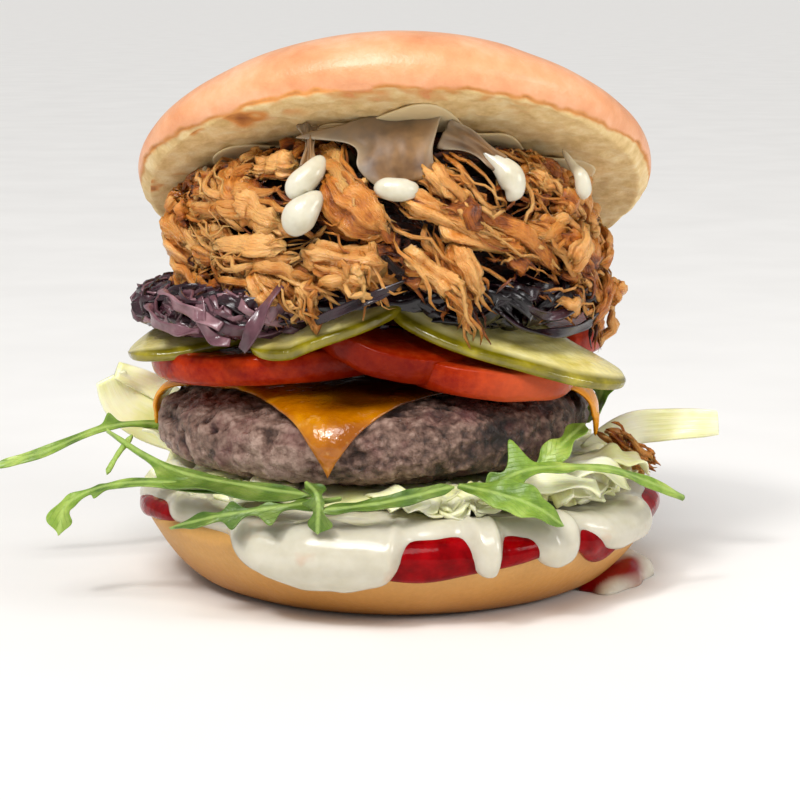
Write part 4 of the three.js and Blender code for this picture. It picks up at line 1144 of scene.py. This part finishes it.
pork_chunks = [
    (-15, 92, -2.5, 80, 3.6, 0.62, 1.0), (6, 93.5, 15.5, 84, 3.0, 0.2, 1.0),
    (1, 88, 20.5, 78, 2.3, 0.5, 1.0), (8, 82, 29, 75, 2.2, 0.5, 1.0),
    (-20, 77, -2, 73.5, 3.0, 0.75, 1.0), (-18, 73, -5, 69.5, 2.4, 0.7, 1.0),
    (-39, 76.5, -21, 78, 1.9, 0.75, 1.0), (-33, 84.5, -24, 81, 2.8, 0.6, 1.0),
    (-35.5, 93, -32, 85, 2.4, 0.55, 1.0), (-46, 81, -39, 71, 2.4, 0.55, 0.6),
    (26.5, 83, 38.5, 78, 2.4, 0.38, 1.0), (33, 79, 42, 69, 2.6, 0.45, 0.6),
    (1, 77, 12, 68, 2.4, 0.45, 0.8), (9.5, 78, 15, 67, 2.0, 0.6, 1.0),
    (26.5, 91.5, 33.5, 87.5, 2.5, 0.6, 1.0), (-50, 72, -42, 67, 2.0, 0.6, 0.5),
    (-21, 71, -16, 65.5, 1.8, 0.6, 1.0), (-30, 72, -24, 66, 2.2, 0.6, 0.8),
    (19, 80, 25, 76, 2.0, 0.35, 0.8), (38, 88, 44, 78, 2.4, 0.35, 0.5),
]


def pork_rows(shown_rows, count, least, most, rng):
    """Ends, thickness, tint and lift of every tuft or chunk: those that show in front, and others
    at random for the rest of the heap."""
    x, level, x_end, level_end, *looks = np.array(shown_rows, float).T
    shown = [pork_azimuth(x, level), level, pork_azimuth(x_end, level_end), level_end, *looks]
    turn = rng.uniform(36, 324, count)
    top = rng.uniform(64, 97, count)
    turn_end = turn + rng.uniform(-26, 26, count)
    low = top - rng.uniform(-6, 15, count)
    looks = [rng.uniform(*span, count) for span in ((least, most), (0.15, 0.85), (1.5, 3.5))]
    return np.concatenate([np.stack(shown, 1), np.stack([turn, top, turn_end, low, *looks], 1)])


def tuft_paths(rows, each, apart, fray, kink, rng, proud=-0.6):
    """Paths of each tuft's bundles: the way between its two ends on the heap, moved aside by a
    random step that changes along it, begun and ended at random, bowed out and kinked."""
    turn, level, turn_end, level_end, thick, tint, lift = np.repeat(rows, each, 0).T[:, :, None]
    one = (len(turn), 1)
    steps = np.linspace(0, 1, 7)
    begin = rng.uniform(-fray, fray * 2, one)
    end = 1 - rng.uniform(-fray, fray * 2, one)
    share = begin + (end - begin) * steps
    arc = (turn_end - turn) * PORK_ARC
    drop = level_end - level
    length = np.hypot(arc, drop)
    lean = rng.normal(0, 1, one) + 0.6 * rng.normal(0, 1, one) * (2 * steps - 1)
    aside = apart * thick * (lean + 0.6 * kink * rng.normal(0, 1, (len(turn), 7)))
    azimuth = turn + (turn_end - turn) * share - aside * drop / length / PORK_ARC
    height = level + drop * share + aside * arc / length
    bow = lift * rng.uniform(-0.6, 1.2, one) * np.sin(np.pi * (0.05 + 0.9 * steps))
    out = bow + kink * rng.normal(0, 1, (len(turn), 7)) + proud
    tint = tint[:, 0] + 0.24 * rng.normal(0, 1, len(turn))
    return under_lid(pork_place(azimuth, height, out), 2.5), thick[:, 0], tint, out


def bundles(paths, size, rng, steps=14, sides=8, blunt=0.08, crumble=0.35):
    """Torn bundles of fibres along paths: a flat oval section with a ridge for each few fibres.
    Every ridge begins and ends at its own place, so that the ends are ragged."""
    path = curve(paths, steps)
    one = (len(path), 1, 1)
    size = np.reshape(size, one)
    t = np.linspace(0, 1, steps)[:, None]
    across, upward = oval(sides, 1)
    crumbs = rng.normal(0, 1, (len(path), steps, sides))
    crumbs = (crumbs + np.roll(crumbs, 1, 1) + np.roll(crumbs, -1, 1)) / 1.7
    ridge = rng.normal(0, 1, (len(path), 1, sides)) + crumble * crumbs
    ridge = 0.7 * ridge + 0.2 * (np.roll(ridge, 1, -1) + np.roll(ridge, -1, -1))
    begin = rng.uniform(0, 0.2, (len(path), 1, sides))
    end = rng.uniform(0.8, 1, (len(path), 1, sides))
    shown = smoothstep(t, begin - blunt, begin + blunt) * (1 - smoothstep(t, end - blunt, end + blunt))
    swell = 1 + 0.25 * np.sin(rng.uniform(3, 8, one) * t + rng.uniform(0, 6, one))
    reach = size * (0.1 + 0.9 * shown) * np.clip(1 + 0.24 * ridge, 0.4, 1.7) * swell
    face = path.mean(1, keepdims=True) - PORK_CENTRE + rng.normal(0, 14, (len(path), 1, 3))
    made = carried(path, face, reach * across, 0.62 * reach * upward)
    length = np.linalg.norm(np.diff(path, axis=1), axis=-1).sum(1)[:, None, None]
    shift = rng.uniform(0, 500, one)
    wrap = np.linspace(0, 6, sides) * size
    return shell(made, uv=mapped(t * length + shift, wrap + shift, made)), np.clip(ridge, -1.5, 1.5)


def bundle_shade(tint, ridge, out):
    """Tone of each point: its tuft's, with painted shade: darker in the grooves between ridges and
    where a bundle lies deeper in the heap, lighter further out.
    """
    lying = curve(out[..., None], ridge.shape[1])
    lying = 0.045 * np.clip(lying, 0, 4) + 0.14 * np.clip(lying, -2.5, 0)
    # Painted shade: grooves between ridges and deeper bundles are darker.
    return 0.05 + 0.42 * tint[:, None, None] + 0.11 * ridge + lying


pork = Finish("pulled_pork", specular_ior_level=0.45)
pork_fibre = pork.grain(1, 3, 0.6, pork.stretched((0.4, 2.4, 1)))
pork_streak = pork.sum(pork.times(pork_fibre, 0.36), pork.times(pork.grain(2.6, 4), 0.44))
pork_tone = pork.sum(pork.reading("tint"), pork_streak)
pork_tan = pork.ramp(
    pork_tone,
    (0.28, 20, 6, 2),
    (0.42, 84, 33, 9),
    (0.55, 158, 82, 24),
    (0.7, 206, 130, 52),
    (0.92, 232, 172, 100),
)
pork_roast = pork.mottle(8, 2, (0.5, 0.0), (0.7, 0.45))
pork_roast = pork.times(pork_roast, pork.ramp(pork_tone, (0.4, 0.0), (0.55, 1.0)))
pork.set(
    base_color=pork.mix(pork_roast, pork_tan, (206, 118, 30)),
    roughness=pork.mottle(4, 2, (0.35, 0.16), (0.65, 0.42)),
    normal=pork.relief(pork_fibre, 0.9),
)
pork.soft(0.2, (1, 0.4, 0.2))

pork_draw = np.random.default_rng(31)
tuft_rows = pork_rows(pork_tufts, HIDDEN_TUFTS, 1.3, 2.2, pork_draw)
paths, thick, tint, out = tuft_paths(tuft_rows, 5, 1.1, 0.22, 0.6, pork_draw)
thick = thick * (0.4 + 0.65 * pork_draw.uniform(0, 1, len(thick)) ** 2)
strands, ridge = bundles(paths, thick, pork_draw)
strands = joined(dict(strands, tint=bundle_shade(tint, ridge, out)), pork_core())
put("pulled_pork_bundles", ["pulled_pork"], "pork", pork, **strands)

chunk_draw = np.random.default_rng(41)
chunk_rows = pork_rows(pork_chunks, HIDDEN_CHUNKS, 1.8, 3.2, chunk_draw)
paths, thick, tint, out = tuft_paths(chunk_rows, 1, 0.2, 0.05, 0.35, chunk_draw, 0.9)
chunks, ridge = bundles(paths, thick, chunk_draw, 28, 26, 0.05, 0.45)
put("pulled_pork_chunks", ["pulled_pork"], "pork", pork, **chunks, tint=bundle_shade(tint, ridge, out))

paths, _, tint, out = tuft_paths(tuft_rows, 10, 1.5, 0.25, 0.5, pork_draw)
fibres, ridge = bundles(paths, pork_draw.uniform(0.22, 0.6, len(paths)), pork_draw, 10, 5, 0.09)
put("pulled_pork_fibres", ["pulled_pork"], "pork", pork, **fibres, tint=bundle_shade(tint, ridge, out))

# Pork scrap: a small tangle of pork that dropped off the heap onto the salad at the right.
# It is made of the same torn bundles of fibres and lies loose.

SCRAP_STRANDS = 26
scrap_path = np.array([
    (46.5, -6, 31.5), (48.5, -7, 30.5), (50.5, -8, 28.5), (53, -8.5, 27), (55, -9, 25.5),
])
scrap_draw = np.random.default_rng(37)
scrap_paths = scrap_path + scrap_draw.normal(0, 1.1, (SCRAP_STRANDS, 1, 3))
scrap_paths = scrap_paths + scrap_draw.normal(0, 0.7, (SCRAP_STRANDS, len(scrap_path), 3))
scrap, ridge = bundles(scrap_paths, scrap_draw.uniform(0.4, 1.0, SCRAP_STRANDS), scrap_draw, 12, 8)
# Painted shade: darker in the grooves between the ridges.
scrap_tint = scrap_draw.uniform(0.2, 0.58, (SCRAP_STRANDS, 1, 1)) + 0.07 * ridge
put("pork_scrap_strands", ["pork_scrap"], "pork", pork, **scrap, tint=scrap_tint)

# Upper bun: the domed top half of the roll, glazed and baked to a peach brown.
# It rests tipped back on the heap, its two sides sagging, and shows its soft pale crumb.

CROWN_RADIUS = 56
CROWN_HEIGHT = 24.8
CROWN_SAG = 1
CROWN_SLUMP = 6
CROWN_LIP = 4.5
CROWN_TUCK = 2.6
CROWN_TILT = (-27, -0.7)
CROWN_PLACE = (-1, 0, LID_HEIGHT)


def on_heap(points):
    """Bends the two sides of the upper bun down by the square of the place across, more so toward
    the top, tips it back and to one side, and puts it in its place."""
    share = np.maximum(points[..., 2:] - CROWN_LIP, 0) / CROWN_HEIGHT
    sag = (CROWN_SAG + CROWN_SLUMP * share) * (points[..., :1] / CROWN_RADIUS) ** 2
    return turned_to(points - sag * (0, 0, 1), CROWN_TILT, CROWN_PLACE)


def crown():
    """A quarter ellipse of crust from the top of the dome to the lip, a torn edge, and the cut
    face, which sinks a little and is full of pores. The crust reading is 1 on the crust, and the
    toast reading is 1 where the edge or the crumb beside it is browned."""
    dome = np.radians(np.linspace(89.5, 0, 86))
    lip = np.linspace(0, 1, 26)[1:]
    face = np.linspace(1, 0.01, 70)[1:]
    lip_radius = CROWN_RADIUS - CROWN_TUCK * lip**2
    radius = np.concatenate([CROWN_RADIUS * np.cos(dome), lip_radius, lip_radius[-1] * face])
    dome_level = CROWN_LIP + (CROWN_HEIGHT - CROWN_LIP) * np.sin(dome)
    level = np.concatenate([dome_level, CROWN_LIP * (1 - lip), 0.5 * (1 - face**4)])
    points = around(turns(420), radius[:, None], level[:, None])
    down = np.concatenate([0 * dome, lip, 1 + face[::-1] - face[-1]])[:, None]
    torn = lumps(points, (0.6, 8, 80), (0.5, 3, 81), (0.3, 1.3, 87))
    place = down + 0.16 * torn + 0.6 * np.abs(points[..., 0] / CROWN_RADIUS) ** 5
    crust = 1 - smoothstep(place, 0.84, 1.02)
    swells = lumps(points, (0.5, 26, 82), (0.12, 7, 83))
    pores = unevenness(points, 2.2, 84) - 2.2 * np.clip(unevenness(points, 3.2, 85) - 0.35, 0, 1)
    crumb = 0.3 * pores + 0.4 * unevenness(points, 11, 86)
    height = crust * swells + (1 - crust) * crumb + 0.14 * bell(down, 0.9, 0.2) * torn
    singed = np.clip(lumps(points, (1.6, 6, 88), (0.7, 2.2, 89)) - 0.2, 0, 0.8)
    left = np.clip(-points[..., 0] / 40, 0, 1)
    toast = bell(place, 0.93, 0.08) * (0.5 + 0.3 * torn) + 1.3 * left * singed * bell(down, 1.04, 0.07)
    return shell(on_heap(grown(points, height)), crust=crust, toast=np.clip(toast, 0, 1))


peach = Finish("peach_crust", specular_ior_level=0.5, coat_weight=0.12, coat_roughness=0.25)
peach_cloud = peach.sum(peach.times(peach.grain(20, 3), 0.7), peach.times(peach.grain(3, 3), 0.3))
peach_glaze = peach.ramp(peach_cloud, (0.3, 218, 140, 90), (0.5, 236, 166, 118), (0.68, 245, 190, 150))
peach_crumb = peach.ramp(
    peach.grain(4, 4, 0.65), (0.3, 208, 172, 110), (0.5, 228, 196, 138), (0.7, 240, 216, 166)
)
peach_crust = peach.reading("crust")
peach_toast = peach.reading("toast")
peach_brown = peach.ramp(peach_toast, (0.5, 214, 142, 70), (0.95, 140, 74, 28))
peach_tone = peach.mix(peach.ramp(peach_crust, (0.3, 0.0), (0.6, 1.0)), peach_crumb, peach_glaze)
peach.set(
    base_color=peach.mix(peach.ramp(peach_toast, (0.05, 0.0), (0.5, 1.0)), peach_tone, peach_brown),
    roughness=peach.ramp(peach_crust, (0.3, 0.85), (0.8, 0.34)),
    normal=peach.relief(peach.grain(0.8, 4, 0.65), 0.16),
)
peach.soft(0.12, (1, 0.6, 0.35), 0.003)
put("bun_crown_bread", ["bun_crown"], "crust", peach, **crown())

# Upper mayonnaise: a smear inside the upper bun that runs down over the pork.
# Where it is thin it hangs in a film between the two, and where it is thick it ends in drops.

SMEAR_SIZE = (38.5, 39.5, 1)
SMEAR_PLACE = (0, -1, -0.3)
mayo_drops = [
    (
        [(-15.6, -39.5, 95.2), (-17.7, -42.4, 92.1), (-20.5, -43.6, 89.2), (-20.4, -43.6, 86.5)],
        (1.4, 2.5, 2.7, 1.3),
    ),
    (
        [(-15.6, -44.3, 88.3), (-17.6, -45.6, 86.5), (-20.2, -46.3, 83.6), (-22.2, -44.8, 80)],
        (1.0, 2.4, 3.5, 2.2),
    ),
    (
        [
            (-5, -45.6, 89.9), (-3.4, -46.8, 89.5), (-0.7, -47.3, 89.1), (1.9, -46.9, 89.2),
            (3.4, -45.5, 89.9),
        ],
        (1.0, 2.1, 2.4, 2.1, 1.0),
    ),
    (
        [
            (15.2, -35.5, 96.7), (18.7, -37, 94.6), (22.2, -38.4, 91.4), (23, -39.3, 88.3),
            (21.9, -39.6, 86.1),
        ],
        (0.8, 1.5, 2.8, 2.3, 0.8),
    ),
    (
        [(34, -22, 95.5), (36, -26, 92.4), (37.5, -28.5, 90.4), (38.1, -28.5, 87.4), (38.1, -28, 85.4)],
        (0.6, 0.9, 1.5, 1.7, 0.8),
    ),
    (
        [(-40.9, -19.5, 91.7), (-41.5, -20.5, 90.5), (-42, -21.2, 89.3), (-42.3, -21.8, 87.8)],
        (0.4, 0.7, 1.0, 0.6),
    ),
]
mayo_films = [
    ([(-3, -34.5, 103), (-2, -38, 100), (-0.5, -41.5, 96), (1, -43.5, 90)], (34, 19, 17, 10)),
    ([(-18.5, -33, 101), (-18.5, -35.5, 99.2), (-18.3, -37.8, 96.6), (-18.2, -40.5, 93.1)], (5, 2.5, 2, 4)),
    ([(9, -36, 100), (13.1, -36.8, 98.3), (17.2, -37.2, 96.2), (20.4, -37.8, 93.5)], (7, 5, 4, 4)),
]


def drop(points, sizes, steps=34):
    """A run of sauce: a round section along its path whose radius goes smoothly through the given
    sizes and closes at both ends."""
    t = np.linspace(0, 1, steps)[:, None]
    across, upward = oval(24, 1)
    closing = np.sqrt(np.clip(1 - np.abs(2 * t - 1) ** 7, 0.001, 1))
    reach = curve(np.array(sizes, float)[:, None], steps) * closing
    made = carried(curve(points, steps), np.array([0.1, -1, 0.4]), reach * across, 0.8 * reach * upward)
    return shell(made, thin=0 * made[..., 0], rubbed=0 * made[..., 0])


def smear():
    """The smear in the upper bun: a flat round whose edge wanders, rubbed thin on the bread."""
    share, up = plump(np.linspace(89, -89, 40)[:, None], 3)
    wander = 1 + waves(turns(200), (0.1, 5, 1), (0.06, 11, 0))
    points = around(turns(200), share * wander, up) * SMEAR_SIZE + SMEAR_PLACE
    points[..., 2] += 0.6 * unevenness(points, 8, 90)
    return shell(on_heap(points), thin=0 * points[..., 0], rubbed=np.full(points.shape[:2], 0.85))


def film(points, widths, steps=30):
    """A thin hanging sheet of sauce, wide at the bread and drawn in below, its face waving and
    its two edges wandering on their own. Away from the bread and its edges it is painted darker
    brown, as the pork seen through it and the shade under the upper bun."""
    half = curve(np.array(widths, float)[:, None], steps) / 2
    t = np.linspace(0, 1, steps)[:, None]
    across, flat = oval(40, 0.5)
    wander = 1 + 0.13 * np.where(across > 0, np.sin(8 * t + 1), np.sin(10 * t + 4))
    wave = 0.5 * np.sin(4 * across + 4 * t) + 0.3 * np.sin(9 * across - 5 * t)
    half = half * wander
    made = carried(curve(points, steps), np.array([0, -1, 0.4]), half * across, 0.35 * flat + wave)
    # Painted shade and see-through: where this is high the film is coloured dark brown.
    clear = 1 - 0.3 * np.abs(across) ** 5 * (t > 0.1) - 0.3 * (1 - t) ** 2
    return shell(made, thin=np.clip(clear, 0, 1), rubbed=0 * made[..., 0])


upper_mayo = Finish("mayonnaise_run", specular_ior_level=0.45)
upper_cream = upper_mayo.mottle(6, 3, (0.3, 194, 186, 160), (0.6, 214, 209, 190))
# Painted shade and see-through: dark brown for the pork behind the film and the shade under the upper bun.
upper_clear = upper_mayo.mottle(7, 3, (0.36, 86, 54, 22), (0.66, 146, 108, 64))
upper_film = upper_mayo.reading("thin")
upper_tone = upper_mayo.mix(upper_film, upper_cream, upper_clear)
upper_mayo.set(
    base_color=upper_mayo.mix(upper_mayo.reading("rubbed"), upper_tone, (226, 200, 150)),
    roughness=upper_mayo.ramp(upper_film, (0.0, 0.2), (1.0, 0.5)),
    normal=upper_mayo.relief(upper_mayo.grain(2.4, 3), 0.12),
)
upper_mayo.soft(0.3, MAYO_BLUR)
upper_runs = [film(*sheet) for sheet in mayo_films] + [drop(*run) for run in mayo_drops]
put("mayo_upper_runs", ["mayo_upper"], "mayonnaise", upper_mayo, **joined(smear(), *upper_runs))

# Studio: a pale seamless floor in a white room, a small strong light in front above at the left,
# a broader weak one at the right and a soft sun, and a long lens a little above the burger's middle.

FLOOR_HALF = 80
ROOM_LIGHT = 0.38
SUN_TURN = np.radians([34, 0, -18])
LIGHT_AIM = (0, 0, 0.06)
LOOK_HEIGHT = 0.0382
DISTANCE = 0.52
PITCH = np.radians(10)
SENSOR = 36
LENS_TO_SENSOR = 2330 / 800

floor_mesh = bpy.data.meshes.new("pale_floor")
floor_corners = [(FLOOR_HALF * x, FLOOR_HALF * y, 0) for x, y in ((-1, -1), (1, -1), (1, 1), (-1, 1))]
floor_mesh.from_pydata(floor_corners, [], [(0, 1, 2, 3)])
floor = stood("pale_floor", floor_mesh)
paper = Finish("pale_paper", roughness=0.7)
paper.set(base_color=paper.mottle(60, 2, (0.3, 236, 234, 231), (0.7, 241, 239, 236)))
floor_mesh.materials.append(paper.material)


def soft_light(name, place, size, power, tint):
    """A square area light that looks from its place at the burger."""
    light = bpy.data.lights.new(name, "AREA")
    light.size = size
    light.energy = power
    light.color = tint
    holder = stood(name, light)
    holder.location = place
    holder.rotation_euler = (Vector(LIGHT_AIM) - Vector(place)).to_track_quat("-Z", "Y").to_euler()


soft_light("key", (-0.42, -0.7, 0.92), 0.16, 4.6, (1, 0.99, 0.97))
soft_light("side", (0.75, -0.4, 0.42), 0.3, 2.3, (1, 0.99, 0.98))
sky = bpy.data.lights.new("sky", "SUN")
sky.energy = 2.1
sky.angle = 0.6
stood("sky", sky).rotation_euler = SUN_TURN

world = bpy.data.worlds.new("white_room")
world.use_nodes = True
world.node_tree.nodes["Background"].inputs["Color"].default_value = (1, 1, 1, 1)
world.node_tree.nodes["Background"].inputs["Strength"].default_value = ROOM_LIGHT
bpy.context.scene.world = world
bpy.context.scene.view_settings.view_transform = "Standard"

lens = bpy.data.cameras.new("front")
lens.sensor_width = SENSOR
lens.lens = LENS_TO_SENSOR * SENSOR
camera = stood("front", lens)
camera.location = (0, -DISTANCE * np.cos(PITCH), LOOK_HEIGHT + DISTANCE * np.sin(PITCH))
camera.rotation_euler = (np.pi / 2 - PITCH, 0, 0)
bpy.context.scene.camera = camera
